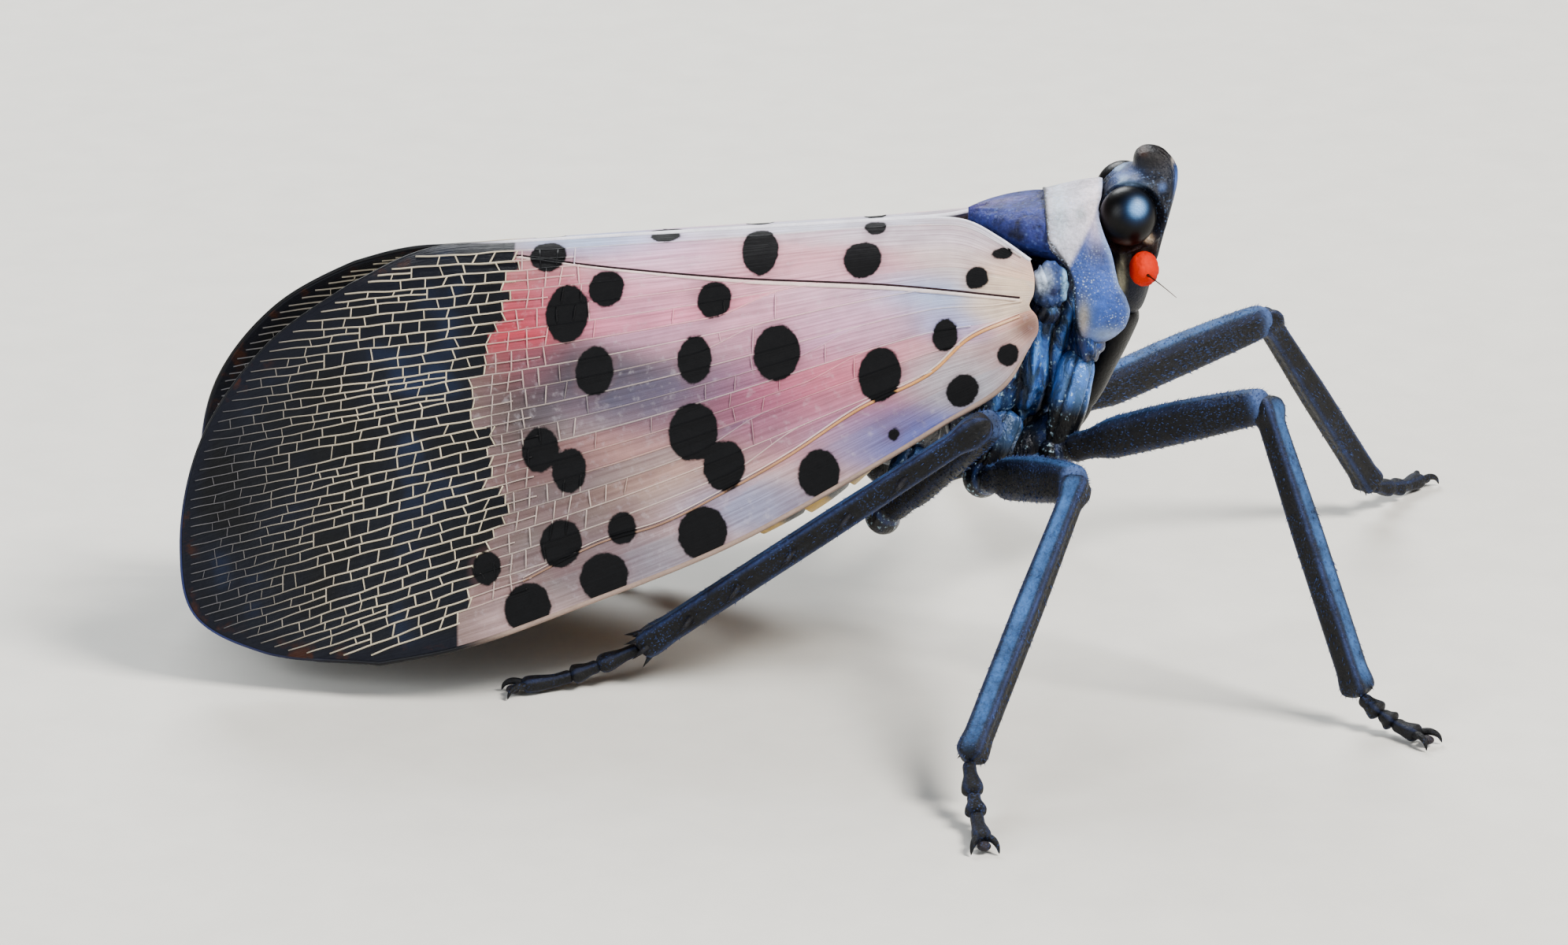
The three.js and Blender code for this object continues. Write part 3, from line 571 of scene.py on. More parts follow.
def foil(name, strength=1.0):
    """The thorax's folded, iridescent blue skin: fine vertical wrinkles from black over blue to pale cyan, partly the
    skin's own blue and partly painted shade in their hollows and painted sheen on their crests.
    """
    material, tree, shader = new_material(name)
    where = node(tree, "TexCoord").outputs["Object"]
    tall = node(tree, "VectorMath", {0: where, 1: (per_mm(2.6), per_mm(2.6), per_mm(0.9))}, operation="MULTIPLY")
    wrinkle = node(tree, "TexNoise", {"Vector": tall.outputs[0], "Scale": 1.0, "Detail": 5.0, "Roughness": 0.62,
                                      "Distortion": 0.7}).outputs["Fac"]
    grain = cloud(tree, where, 9, 4)
    # Black in the wrinkles' hollows and pale cyan on their crests: the skin's blue with painted shade and sheen over
    # the bumped wrinkles.
    sheen = ramp(tree, wrinkle, [(0.32, shade(10, 12, 18)), (0.44, shade(34, 48, 74)), (0.53, shade(84, 128, 180)),
                                 (0.61, shade(146, 190, 226)), (0.69, shade(226, 244, 250))])
    tint = attribute(tree, "tint").outputs["Color"]
    light = node(tree, "VectorMath", {0: tint, "Scale": 3.0}, operation="SCALE").outputs[0]
    lit = blend(tree, 1.0, sheen, light, "MULTIPLY")
    colour = blend(tree, 0.75 * strength, tint, lit)
    # Pale cyan flecks where grain and wrinkle meet are painted glints.
    glint = math_node(tree, "MULTIPLY", steps(tree, grain, 0.57, 0.68), steps(tree, wrinkle, 0.42, 0.56))
    colour = blend(tree, math_node(tree, "MULTIPLY", glint, 0.7), colour, rgba(shade(206, 236, 250)))
    tree.links.new(colour, shader.inputs["Base Color"])
    tree.links.new(math_node(tree, "MULTIPLY_ADD", grain, 0.3), shader.inputs["Roughness"])
    shader.inputs["Roughness"].links[0].from_node.inputs[2].default_value = 0.18
    shader.inputs["Metallic"].default_value = 0.3
    shader.inputs["Specular IOR Level"].default_value = 0.45
    height = math_node(tree, "ADD", wrinkle, math_node(tree, "MULTIPLY", grain, 0.25))
    bump(tree, shader, height, 0.12)
    return material


# Colours and sizes that a user would change

def colour_property(name, description, red, green, blue):
    return FloatVectorProperty(name=name, description=description, size=3, min=0, max=1, subtype="COLOR_GAMMA",
                               default=(red / 255, green / 255, blue / 255))


class LanternflyColours(bpy.types.PropertyGroup):
    body: colour_property("Body", "Blue-black of the thorax and legs", 30, 40, 60)
    gleam: colour_property("Gleam", "Bright blue of the thorax's folds", 116, 158, 206)
    pronotum: colour_property("Pronotum", "Pale grey of the plate behind the head", 205, 203, 214)
    wing_ground: colour_property("Forewing ground", "Base of the forewing between its patches", 205, 178, 172)
    vein: colour_property("Net veins", "Cream of the net at the forewing's tip", 200, 190, 170)
    spot: colour_property("Spots", "Black of the forewing's spots", 14, 15, 20)
    bulb: colour_property("Feeler bulb", "Orange of the round base of the feeler", 196, 48, 0)
    abdomen: colour_property("Abdomen", "Yellow of the abdomen between its bands", 200, 165, 60)
    hindwing: colour_property("Hindwing", "Red at the root of the hindwing", 190, 35, 28)
    floor: colour_property("Floor", "Pale ground under the feet", 222, 220, 214)


class LanternflySizes(bpy.types.PropertyGroup):
    membrane: FloatProperty(name="Forewing wall", description="Thickness of the forewing's skin", default=0.14 * MM,
                            unit="LENGTH", subtype="DISTANCE")
    net_rows: IntProperty(name="Net rows", description="Rows of cells where the net begins", default=36, min=12)
    net_rows_at_tip: IntProperty(name="Net rows at tip", description="Rows of cells at the margin", default=50, min=12)
    vein_width: FloatProperty(name="Net vein width", description="Width of a vein of the net", default=0.042 * MM,
                              unit="LENGTH", subtype="DISTANCE")
    hair: FloatProperty(name="Leg hair", description="Length of the hairs on the legs", default=0.1 * MM,
                        unit="LENGTH", subtype="DISTANCE")


def colour_of(name):
    return rgb(getattr(bpy.context.scene.lanternfly_colours, name))


# The roof that the closed wings make over the body

RIDGE_HEIGHT = 10.58
RIDGE_AT = 4
RIDGE_SLOPE = 0.062
ROOF_DEPTH = 8
DROP_POWER = 1.4
SEAM = 0.03
MIDLINE = 0.15
WING_BASE_X = 5.75
SIDE_VIEW = math.radians(20)


def ridge(x):
    return RIDGE_HEIGHT + RIDGE_SLOPE * (np.asarray(x, float) - RIDGE_AT)


def half_width(x, drop):
    spread = 4.65 - 1.35 * ease(-5, -15, x) - 0.35 * ease(1, 6, x)
    fullness = 0.52 + 0.1 * ease(0, -10, x) - 0.14 * ease(1, 6, x)
    middle = SEAM + (MIDLINE - SEAM) * ease(0, 0.6, drop)
    return middle + spread * (np.maximum(0, drop) / ROOF_DEPTH) ** fullness


def drop_of(g):
    return ROOF_DEPTH * np.maximum(0, g) ** DROP_POWER


def g_of(x, z):
    return (np.maximum(0, ridge(x) - z) / ROOF_DEPTH) ** (1 / DROP_POWER)


def roof(x, g):
    """The place on the right forewing's outer face laid out at (x, g)."""
    drop = drop_of(g)
    return np.stack([x, -half_width(x, drop), ridge(x) - drop], axis=-1)


def roof_normal(x, g):
    step = 0.01
    along = roof(x + step, g) - roof(x - step, g)
    down = roof(x, g + step) - roof(x, np.maximum(g - step, 0))
    normal = unit(np.cross(along, down))
    return np.where(normal[..., 1:2] > 0, -normal, normal)


def skin_depth(x, g):
    """How far below the ridge (x, g) lies, measured along the skin."""
    g = np.asarray(g, float)
    ladder = np.linspace(0, 1, 120)[:, None] * g.ravel()[None]
    line = roof(np.broadcast_to(np.ravel(x), ladder.shape), ladder)
    return np.linalg.norm(np.diff(line, axis=0), axis=2).sum(axis=0).reshape(g.shape)


def seen_depth(x, drop):
    """How far below the ridge a drop looks, seen from the side and a little above."""
    return math.cos(SIDE_VIEW) * drop + math.sin(SIDE_VIEW) * half_width(x, drop)


def g_of_seen(x, seen):
    low, high = np.zeros_like(x), np.full_like(x, 14.0)
    for _ in range(40):
        middle = (low + high) / 2
        above = seen_depth(x, middle) < seen
        low, high = np.where(above, middle, low), np.where(above, high, middle)
    return (low / ROOF_DEPTH) ** (1 / DROP_POWER)


def margin(points):
    path = Path([(x, 10 * g_of(x, z)) for x, z in points])
    return lambda share: path.at(share) * np.array([1, 0.1])


def patch(lower, upper, root, tip):
    """A patch between four margins; p runs from root to tip and q from the lower edge up."""
    def layout(p, q):
        p, q = np.broadcast_arrays(np.asarray(p, float), np.asarray(q, float))
        r, s = p[..., None], q[..., None]
        sides = (1 - s) * lower(p) + s * upper(p)
        ends = (1 - r) * root(q) + r * tip(q)
        zero, one = np.zeros_like(q), np.ones_like(q)
        near = (1 - s) * root(zero) + s * root(one)
        far = (1 - s) * tip(zero) + s * tip(one)
        spot = sides + ends - (1 - r) * near - r * far
        return spot[..., 0], np.maximum(spot[..., 1], 0.001 + 0.05 * (1 - q))
    return layout


TEGMEN_LOWER = margin([(WING_BASE_X, 8.3), (5.1, 7.4), (3.7, 6.55), (2.1, 5.63), (-1.3, 3.85), (-5.4, 2.25),
                       (-7.6, 1.45), (-9.5, 0.96)])
TEGMEN_UPPER = margin([(WING_BASE_X, 10.05), (5.02, 10.4), (4.25, ridge(4.25) - 0.02), (3.2, ridge(3.2)),
                       (-1, ridge(-1)), (-5, ridge(-5)), (-8, ridge(-8)), (-10.2, 9.15)])
TEGMEN_ROOT = margin([(WING_BASE_X, 8.3), (5.92, 8.6), (5.9, 8.9), (5.72, 9.14), (5.82, 9.4), (5.84, 9.72),
                      (WING_BASE_X, 10.05)])
TEGMEN_TIP = margin([(-9.5, 0.96), (-12.3, 1.02), (-13.9, 1.8), (-14.2, 3.3), (-13.75, 5.6), (-12.2, 7.8),
                     (-10.2, 9.15)])
tegmen_layout = patch(TEGMEN_LOWER, TEGMEN_UPPER, TEGMEN_ROOT,
                      lambda q: TEGMEN_TIP(q + 0.4 * np.sin(2 * np.pi * q) / (2 * np.pi)))

HINDWING_LOWER = margin([(2.2, 6.3), (1.4, 5.65), (0, 4.75), (-2.6, 3.35), (-5, 2.42), (-7.4, 1.85)])
HINDWING_UPPER = margin([(2.2, 8.4), (0, 8.7), (-3, 8.5), (-6, 7.9), (-8.4, 6.6)])
HINDWING_ROOT = margin([(2.2, 6.3), (2.2, 7.4), (2.2, 8.4)])
HINDWING_TIP = margin([(-7.4, 1.85), (-8.9, 2.6), (-9.3, 4.4), (-8.4, 6.6)])
hindwing_layout = patch(HINDWING_LOWER, HINDWING_UPPER, HINDWING_ROOT, HINDWING_TIP)

# Marks on the forewing, as (x, z, half width, half height) on the near side
SPOTS = [
    (-5.08, 8.72, 0.51, 0.58), (-4.17, 9.24, 0.42, 0.35), (-4.43, 7.56, 0.45, 0.52), (-1.63, 9.08, 0.4, 0.37),
    (-2.09, 7.84, 0.4, 0.51), (-0.17, 8.02, 0.55, 0.59), (-0.56, 10.01, 0.43, 0.31), (1.84, 9.92, 0.45, 0.31),
    (4.5, 9.67, 0.28, 0.23), (5.11, 10.15, 0.25, 0.1), (2.23, 7.59, 0.51, 0.57), (3.76, 8.46, 0.3, 0.35),
    (5.22, 8.09, 0.25, 0.25), (4.16, 7.29, 0.38, 0.36), (2.56, 6.31, 0.13, 0.14), (0.82, 5.45, 0.49, 0.53),
    (-2.12, 6.32, 0.58, 0.63), (-1.39, 5.59, 0.49, 0.55), (-1.9, 4.12, 0.58, 0.59), (-5.7, 5.87, 0.43, 0.49),
    (-5.01, 5.43, 0.4, 0.49), (-5.21, 3.85, 0.49, 0.53), (-3.78, 4.2, 0.34, 0.36), (-4.2, 3.12, 0.57, 0.54),
    (-5.99, 2.41, 0.55, 0.56), (-6.95, 3.24, 0.34, 0.38), (-5.55, 9.77, 0.43, 0.21), (-2.79, 10.14, 0.36, 0.13),
    (2.16, 10.41, 0.26, 0.06),
]
NET_EDGE = [(-6.45, 9.82), (-6.39, 9.27), (-6.72, 8.64), (-7.08, 7.99), (-7.29, 7.16), (-7.07, 6.34), (-6.91, 5.33),
            (-6.54, 4.5), (-7, 3.62), (-7.28, 2.74), (-7.75, 1.84)]
RADIAL_VEIN = [(5.59, 8.94), (4.31, 8.41), (3.39, 7.63), (1.74, 6.84), (0.08, 5.81), (-1.39, 5.02), (-2.86, 4.31),
               (-4.33, 3.86), (-6.17, 2.96)]
CLAVAL_SUTURE = [(5.57, 9.29), (2.5, 9.44), (-1.28, 9.51), (-4.49, 9.65), (-6.22, 9.76)]

# Soft patches of colour on the forewing, as (x, z, half width, half height, colour, strength)
WING_PATCHES = [
    (-6.35, 8.25, 0.8, 0.75, shade(186, 56, 84), 3), (-5.3, 8.9, 1.1, 0.5, shade(198, 112, 134), 1.1),
    (-3.2, 8.7, 1.5, 0.6, shade(224, 168, 192), 1.3), (-0.6, 8.9, 1.7, 0.6, shade(226, 166, 184), 1.1),
    (-2.8, 9.8, 1.2, 0.35, shade(240, 204, 226), 1.2), (0.9, 9.3, 1.4, 0.4, shade(246, 204, 218), 1.2),
    (1.4, 8.7, 1.3, 0.6, shade(232, 184, 202), 1.3), (0.6, 9.8, 2.2, 0.35, shade(226, 178, 190), 0.8),
    (0.9, 7.3, 1.6, 0.9, shade(210, 134, 156), 1.3), (-0.6, 6.9, 1.3, 0.7, shade(146, 100, 126), 2),
    (-4.9, 7.5, 1.6, 0.55, shade(66, 72, 82), 3), (-3, 7, 1.7, 0.6, shade(102, 98, 118), 1.6),
    (-6.3, 6.6, 0.8, 0.9, shade(80, 76, 78), 2.2), (-5.2, 5, 1.6, 0.9, shade(116, 104, 98), 1.7),
    (-3.2, 5.4, 1.3, 0.7, shade(186, 160, 146), 0.9), (-5.2, 3.7, 1.6, 0.8, shade(120, 114, 114), 1.7),
    (3.9, 7.4, 0.9, 0.5, shade(186, 190, 196), 1.2), (1.9, 6.3, 1.3, 0.4, shade(172, 158, 170), 1.3),
    (2.9, 6.3, 1.3, 0.45, shade(84, 112, 184), 2.8), (-0.9, 4.7, 1.4, 0.4, shade(156, 160, 184), 1.4),
    (-3.2, 3.5, 1.2, 0.5, shade(156, 154, 164), 1.0), (0, 10.35, 5, 0.16, shade(228, 226, 236), 1.6),
    (-4.3, 10.05, 1.6, 0.2, shade(178, 200, 230), 1.6), (3.3, 9.3, 1.2, 0.3, shade(188, 204, 232), 1.3),
    (4, 8.7, 0.8, 0.25, shade(184, 190, 226), 1.2), (4.2, 10, 1, 0.3, shade(232, 222, 218), 1.2),
    # The dark red-brown patch at the root below the scale is partly the root's own colour and partly painted shade.
    (5.1, 9.3, 0.6, 0.45, shade(255, 228, 198), 5), (5.62, 8.8, 0.24, 0.22, shade(96, 34, 28), 3),
]
WING_DEPTH = 0.84
NET_TOP = 0.15
NET_BOTTOM = 9.1
NET_BOTTOM_AT = -7.75
NET_SPREAD = 0.306


def seen_of(points):
    x, z = np.array(points, float).T
    return x, seen_depth(x, ridge(x) - z)


def along_line(points):
    """The seen depth of a line of (x, z) points, as a function of x."""
    x, seen = seen_of(points)
    fine = Path(np.stack([x, seen], axis=1)).spots
    order = np.argsort(fine[:, 0])
    return lambda at: np.interp(at, fine[order, 0], fine[order, 1])


class Net:
    """The rows of the forewing's net and the long veins that run into them, as seen depths over x."""

    def __init__(self, rows, rows_at_tip):
        self.random = np.random.default_rng(7)
        self.x = np.arange(-14.4, 5.86, 0.05)
        self.count = rows_at_tip
        late = np.zeros(rows_at_tip, bool)
        extra = rows_at_tip - rows
        late[np.linspace(2, rows_at_tip - 3, extra).round().astype(int)] = True
        starts = np.where(late, self.random.uniform(-11.8, -7.9, rows_at_tip), 99)
        rank = np.cumsum(~late) - np.where(late, 0.5, 1)
        gather = ease(-7.2, -13, self.x)[None]
        share = mix((rank[:, None] + 0.5) / rows, (np.arange(rows_at_tip)[:, None] + 0.5) / rows_at_tip, gather)
        self.bottom = NET_BOTTOM + NET_SPREAD * (NET_BOTTOM_AT - self.x)
        wave = self.random.uniform(0, 2 * np.pi, (rows_at_tip, 2))
        jitter = 0.011 * np.sin(self.x[None] * 2.6 + wave[:, :1]) + 0.007 * np.sin(self.x[None] * 6.3 + wave[:, 1:])
        self.seen = NET_TOP + share * (self.bottom - NET_TOP) + jitter
        self.share = share
        self.late = late
        self.starts = starts
        edge_x, edge_seen = seen_of(NET_EDGE)
        edge_share = (edge_seen - NET_TOP) / (NET_BOTTOM + NET_SPREAD * (NET_BOTTOM_AT - edge_x) - NET_TOP)
        self.edge_at = lambda at: np.interp(at, edge_share, edge_x)
        column = np.argmin(np.abs(self.x + 7.1))
        self.edge = self.edge_at(share[:, column])
        self.main = [j for j in range(rows_at_tip) if not late[j]][::2]
        self.hue = self.random.uniform(-1, 1, rows_at_tip)
        self.follow_wing()

    def follow_wing(self):
        """Turns the main rows, in front of the net, into long veins that gather at the wing's root."""
        radial, suture = along_line(RADIAL_VEIN), along_line(CLAVAL_SUTURE)
        p, q = np.meshgrid(np.linspace(0, 1, 120), np.linspace(0.01, 0.99, 120))
        grid_x, grid_g = tegmen_layout(p, q)
        grid_seen = seen_depth(grid_x, drop_of(grid_g))
        line = np.linspace(0, 1, 200)
        self.front_end = {}
        previous = None
        for k, j in enumerate(self.main):
            at = self.edge[j] + 1
            seen = np.interp(at, self.x, self.seen[j])
            near = np.argmin((grid_x - at) ** 2 + (grid_seen - seen) ** 2)
            x, g = tegmen_layout(line, q.ravel()[near])
            order = np.argsort(x)
            wing_line = np.interp(self.x, x[order], seen_depth(x, drop_of(g))[order])
            wing_line += seen - np.interp(at, self.x, wing_line)
            row = mix(self.seen[j], wing_line, ease(self.edge[j] - 0.2, self.edge[j] + 2.2, self.x))
            start = 5.55
            if previous is not None and k % 2:
                start = self.random.uniform(-0.5, 2.6)
                row = mix(row, previous, ease(start - 1.8, start, self.x))
            elif previous is not None and k % 4 == 2:
                start = self.random.uniform(3.2, 4.4)
            cut = row > radial(self.x) - 0.03
            in_front = cut & (self.x > -6)
            if in_front.any():
                start = min(start, self.x[in_front].min())
            close = (np.abs(row - suture(self.x)) < 0.05) & (self.x > -6)
            if close.any() and row[np.searchsorted(self.x, -6)] > suture(-6.0):
                start = min(start, self.x[close].min())
            self.seen[j] = row
            self.front_end[j] = start
            previous = row

    def at(self, j, x):
        return np.interp(x, self.x, self.seen[j])

    def gaps(self):
        """Each gap between two rows of the net's edge, with the later row that splits it, if any."""
        early = [j for j in range(self.count) if not self.late[j]]
        return [(a, b, a + 1 if b > a + 1 else None) for a, b in zip(early, early[1:])]

    def stripe(self, x, seen):
        """A number from -1 to 1 for the stripe of skin that each place lies in, between two long veins."""
        above = np.zeros(np.shape(x), int)
        for j in self.main:
            above += seen > self.at(j, x)
        return self.hue[above]


def on_wing(x, g):
    """Whether (x, g) lies within the forewing's margin."""
    share = np.linspace(0, 1, 160)
    sides = [tegmen_layout(share, 0), tegmen_layout(1, share), tegmen_layout(1 - share, 1), tegmen_layout(0, 1 - share)]
    loop_x, loop_g = (np.concatenate(parts) for parts in zip(*sides))
    inside = np.zeros(np.shape(x), bool)
    for ax, ag, bx, bg in zip(loop_x, loop_g, np.roll(loop_x, -1), np.roll(loop_g, -1)):
        crosses = (ag > g) != (bg > g)
        if crosses.any():
            inside ^= crosses & (x < ax + (g - ag) / (bg - ag if bg != ag else 1) * (bx - ax))
    return inside


def to_margin(x, depth):
    """Distance to the forewing's margin over the skin, with the ridge left open."""
    share = np.linspace(0, 1, 220)
    loops = [tegmen_layout(share, 0), tegmen_layout(1, share), tegmen_layout(1 - share, 1)]
    best = np.full(np.shape(x), 99.0)
    for k, (line_x, line_g) in enumerate(loops):
        line_depth = skin_depth(line_x, line_g)
        if k == 2:
            keep = line_x < -7.6
            line_x, line_depth = line_x[keep], line_depth[keep]
        best = np.minimum(best, distance_to(x, depth, line_x, line_depth))
    return best


def distance_to(x, y, line_x, line_y):
    """The shortest distance from each (x, y) to a line of points."""
    a = np.stack([line_x[:-1], line_y[:-1]], axis=1)
    run = np.stack([np.diff(line_x), np.diff(line_y)], axis=1)
    size = np.maximum((run ** 2).sum(axis=1), 1e-12)
    spots = np.stack([np.ravel(x), np.ravel(y)], axis=1)
    best = np.full(len(spots), 99.0)
    for start, way, square in zip(a, run, size):
        offset = spots - start
        t = np.clip(offset @ way / square, 0, 1)
        best = np.minimum(best, np.hypot(*(offset - t[:, None] * way).T))
    return best.reshape(np.shape(x))


def spot_distance(x, depth):
    """Signed distance to the nearest spot's edge, below 0 inside it."""
    best = np.full(np.shape(x), 9.0)
    for spot_x, spot_z, wide, high in SPOTS:
        centre, top, bottom = (skin_depth(np.array([spot_x]), g_of(np.array([spot_x]), np.array([z])))[0]
                               for z in (spot_z, spot_z + high, spot_z - high))
        tall = (bottom - top) / 2
        ring = np.hypot((x - spot_x) / wide, (depth - centre) / tall)
        away = (ring - 1) * (wide * tall) ** 0.5
        best = np.minimum(best, away) - 0.02 * hill(best - away, 0.06)
    return best


def strand_mesh(name, strands, depth):
    """Low rounded ribs that show on both faces; a strand is (x, seen depth, half width, height, colours)."""
    ring = np.array([(0, 1), (0.62, 0.72), (1, -0.1), (0.8, 0), (-0.8, 0), (-1, -0.1), (-0.62, 0.72)])
    under = np.array([0, 0, 0, 1, 1, 0, 0]) * depth
    sides = len(ring)
    counts = np.array([len(strand[0]) for strand in strands])
    x, seen, wide, high = (np.concatenate([np.broadcast_to(strand[k], count) for strand, count in zip(strands, counts)])
                           for k in range(4))
    tint = np.vstack([np.broadcast_to(strand[4], (count, 3)) for strand, count in zip(strands, counts)])
    lasts = np.cumsum(counts)
    firsts = lasts - counts
    g = g_of_seen(x, seen)
    spot = spot_distance(x, skin_depth(x, g))
    high = high * mix(0.15, 1, ease(-0.1, 0.02, spot))
    centre, normal = roof(x, g), roof_normal(x, g)
    along = unit(np.vstack([np.gradient(part, axis=0) for part in np.split(centre, firsts[1:])]))
    across = unit(np.cross(normal, along)) * wide[:, None]
    rings = (centre[:, None] + across[:, None] * ring[None, :, :1]
             + normal[:, None] * (high[:, None, None] * ring[None, :, 1:] - under[None, :, None]))
    k = np.concatenate([np.arange(first, last - 1) for first, last in zip(firsts, lasts)])[:, None] * sides
    corner = np.arange(sides)
    after = (corner + 1) % sides
    faces = np.stack([k + corner, k + after, k + after + sides, k + corner + sides], axis=-1).reshape(-1, 4).tolist()
    for tip in np.concatenate([firsts, lasts - 1]) * sides:
        faces += [[tip, tip + 1, tip + 2, tip + 3], [tip, tip + 3, tip + 4, tip + 5], [tip, tip + 5, tip + 6]]
    piece = from_arrays(name, rings.reshape(-1, 3), faces)
    store(piece, "tint", np.repeat(tint, sides, axis=0))
    store(piece, "spot", np.repeat(spot, sides))
    tidy_normals(piece)
    smooth(piece)
    return piece


def clipped(x, seen, keep):
    """The longest unbroken run of a line's points that are kept."""
    edges = np.flatnonzero(np.diff(np.concatenate([[0], keep.astype(int), [0]])))
    runs = sorted(zip(edges[::2], edges[1::2]), key=lambda run: run[0] - run[1])
    if not runs or runs[0][1] - runs[0][0] < 3:
        return None
    a, b = runs[0]
    return x[a:b], seen[a:b]


def wing_tint(net, x, seen):
    """The skin's colour in front of the net, from soft patches and from stripes between the long veins."""
    z = ridge(x) - drop_of(g_of_seen(x, seen))
    total = np.full(len(x), 0.2)
    tint = np.tile(colour_of("wing_ground") * 0.2, (len(x), 1))
    for patch_x, patch_z, wide, high, colour, strength in WING_PATCHES:
        weight = strength * np.exp(-((x - patch_x) / wide) ** 2 - ((z - patch_z) / high) ** 2)
        total += weight
        tint += weight[:, None] * colour
    tint = tint / total[:, None]
    stripe = net.stripe(x, seen)[:, None]
    warm, cool = np.array([1.2, 0.82, 0.9]), np.array([0.78, 0.92, 1.1])
    tint = tint * mix(1, np.where(stripe > 0, warm, cool), np.abs(stripe) * 0.8)
    share = (seen - NET_TOP) / (NET_BOTTOM + NET_SPREAD * (NET_BOTTOM_AT - x) - NET_TOP)
    edge = net.edge_at(share)
    smoky = 0.7 * ease(edge + 1.5, edge + 0.1, x) * mix(0.25, 1, ease(8.3, 7.3, z))
    return mix(tint, shade(126, 108, 102), smoky[:, None]) * WING_DEPTH


def forewing_strands(net, vein_width):
    """All raised veins of a forewing, and the staircase along which the net's dark cells begin."""
    random = net.random
    cream, white = colour_of("vein"), shade(232, 218, 210)
    half = vein_width / 2

    def tinted(x, inner, outer, edge):
        colour = mix(outer, inner, ease(edge + 0.3, edge - 0.1, x)[:, None])
        return mix(colour, shade(70, 78, 96), 0.85 * ease(-8.8, -13.4, x)[:, None])

    strands = []
    end = {}
    for j in range(net.count):
        front = net.front_end.get(j, net.starts[j] if net.late[j] else net.edge[j] + 0.1)
        x = np.append(np.arange(-14.3, front - 0.03, 0.11), front)
        seen = net.at(j, x)
        g = g_of_seen(x, seen)
        away = to_margin(x, skin_depth(x, g))
        run = clipped(x, seen, (away > 0.13) & on_wing(x, g))
        end[j] = 9
        if run is None:
            continue
        x, seen = run
        end[j] = x[0]
        zone = ease(net.edge[j] + 0.4, net.edge[j] - 0.2, x)
        thin = mix(1, 0.55, ease(-9.5, -13.2, x))
        wide = half * mix(0.85, 1.0, zone) * thin * random.uniform(0.92, 1.08)
        pale = mix(wing_tint(net, x, seen), white, random.uniform(0.12, 0.4))
        strands.append((x, seen, wide, mix(0.022, 0.03, zone), tinted(x, cream, pale, net.edge[j])))

    def crossing(j, k, x, colour, wide, high, lean=0.04):
        upper, lower = net.at(j, x), net.at(k, x)
        if lower - upper > 0.09:
            lean *= random.uniform(-1, 1)
            line, seen = np.linspace(x + lean, x - lean, 5), np.linspace(upper, lower, 5)
            strands.append((line, seen, wide, high, tinted(line, colour, colour, net.edge[j])))

    stairs = []
    for a, b, late in net.gaps():
        edge = (net.edge[a] + net.edge[b]) / 2 + random.uniform(-0.22, 0.22)
        stairs.append((edge, net.at(a, edge), net.at(b, edge)))
        split = net.starts[late] if late is not None else -99
        runs = [(a, b, edge, max(split, end[a], end[b]))]
        if late is not None:
            crossing(a, b, split, cream, half * 0.8, 0.022, 0)
            runs += [(a, late, split - random.uniform(0.25, 0.5), max(end[a], end[late])),
                     (late, b, split - random.uniform(0.45, 0.7), max(end[b], end[late]))]
        for j, k, x, stop in runs:
            while x > stop + 0.28:
                thin = mix(1, 0.5, ease(-9.5, -13.2, x))
                bright = cream * random.uniform(0.8, 1.1)
                lean = 0.03 + 0.04 * float(ease(-9, -7.5, x))
                crossing(j, k, x, bright, half * thin * random.uniform(0.65, 0.95), 0.022, lean)
                x -= random.uniform(0.36, 0.8)

    for a, b in zip(net.main, net.main[1:]):
        x = net.edge[a] + random.uniform(0.25, 0.5)
        reach = net.edge[a] + random.uniform(1.2, 2.6)
        while x < min(6, net.front_end[a], net.front_end[b]):
            near = x < reach
            pale = mix(wing_tint(net, np.array([x]), np.array([net.at(a, x) + 0.1]))[0], white, 0.35 if near else 0.15)
            if near or random.uniform() < 0.3:
                crossing(a, b, x, pale, half * (0.8 if near else 0.6), 0.016)
            x += random.uniform(0.34, 0.5) if near else random.uniform(0.6, 1.4)
    for a, b in zip(net.main, net.main[1:]):
        middle = a + 1 if not net.late[a + 1] else a + 2
        if middle >= b:
            continue
        x = np.arange(net.edge[middle] + 0.05, net.edge[middle] + random.uniform(0.7, 1.6), 0.11)
        seen = (net.at(a, x) + net.at(b, x)) / 2
        pale = mix(wing_tint(net, x, seen), white, 0.35)
        if len(x) > 3:
            strands.append((x, seen, half * 0.75, 0.016, tinted(x, cream, pale, net.edge[middle])))

    x = np.arange(-6.1, 5.6, 0.1)
    radial = along_line(RADIAL_VEIN)(x)
    gold = mix(shade(164, 136, 118), shade(214, 166, 112), ease(-3, 4, x)[:, None])
    gold = mix(gold, shade(232, 206, 180), 0.8 * ease(4.4, 5.4, x)[:, None])
    wide = mix(0.02, 0.034, ease(-5, 4, x)) * ease(5.9, 4.9, x)
    strands.append((x, radial, wide, 0.022, gold))
    strands.append((x, radial - 0.08, wide * 0.7, 0.015, mix(wing_tint(net, x, radial), white, 0.5)))
    x = np.arange(-6.3, 5.6, 0.1)
    suture = along_line(CLAVAL_SUTURE)(x)
    strands.append((x, suture, 0.02, 0.012, shade(60, 40, 46)))
    broad = 0.022 + 0.03 * hill(x - 1, 4)
    strands.append((x, suture + 0.03 + broad, broad, 0.018, mix(wing_tint(net, x, suture), white, 0.75)))
    return strands, stairs


def rim_strands():
    """The forewing's margin: a cord from the root along the lower edge, round the tip and up the ridge."""
    share = np.linspace(0, 1, 150)
    parts = [tegmen_layout(share, 0), tegmen_layout(1, share), tegmen_layout(share[::-1], 1)]
    x = np.concatenate([part[0] for part in parts])
    g = np.concatenate([part[1] for part in parts])
    keep = np.concatenate([[True], np.hypot(np.diff(x), 8 * np.diff(g)) > 0.02])
    x, g = x[keep], g[keep]
    return x, g


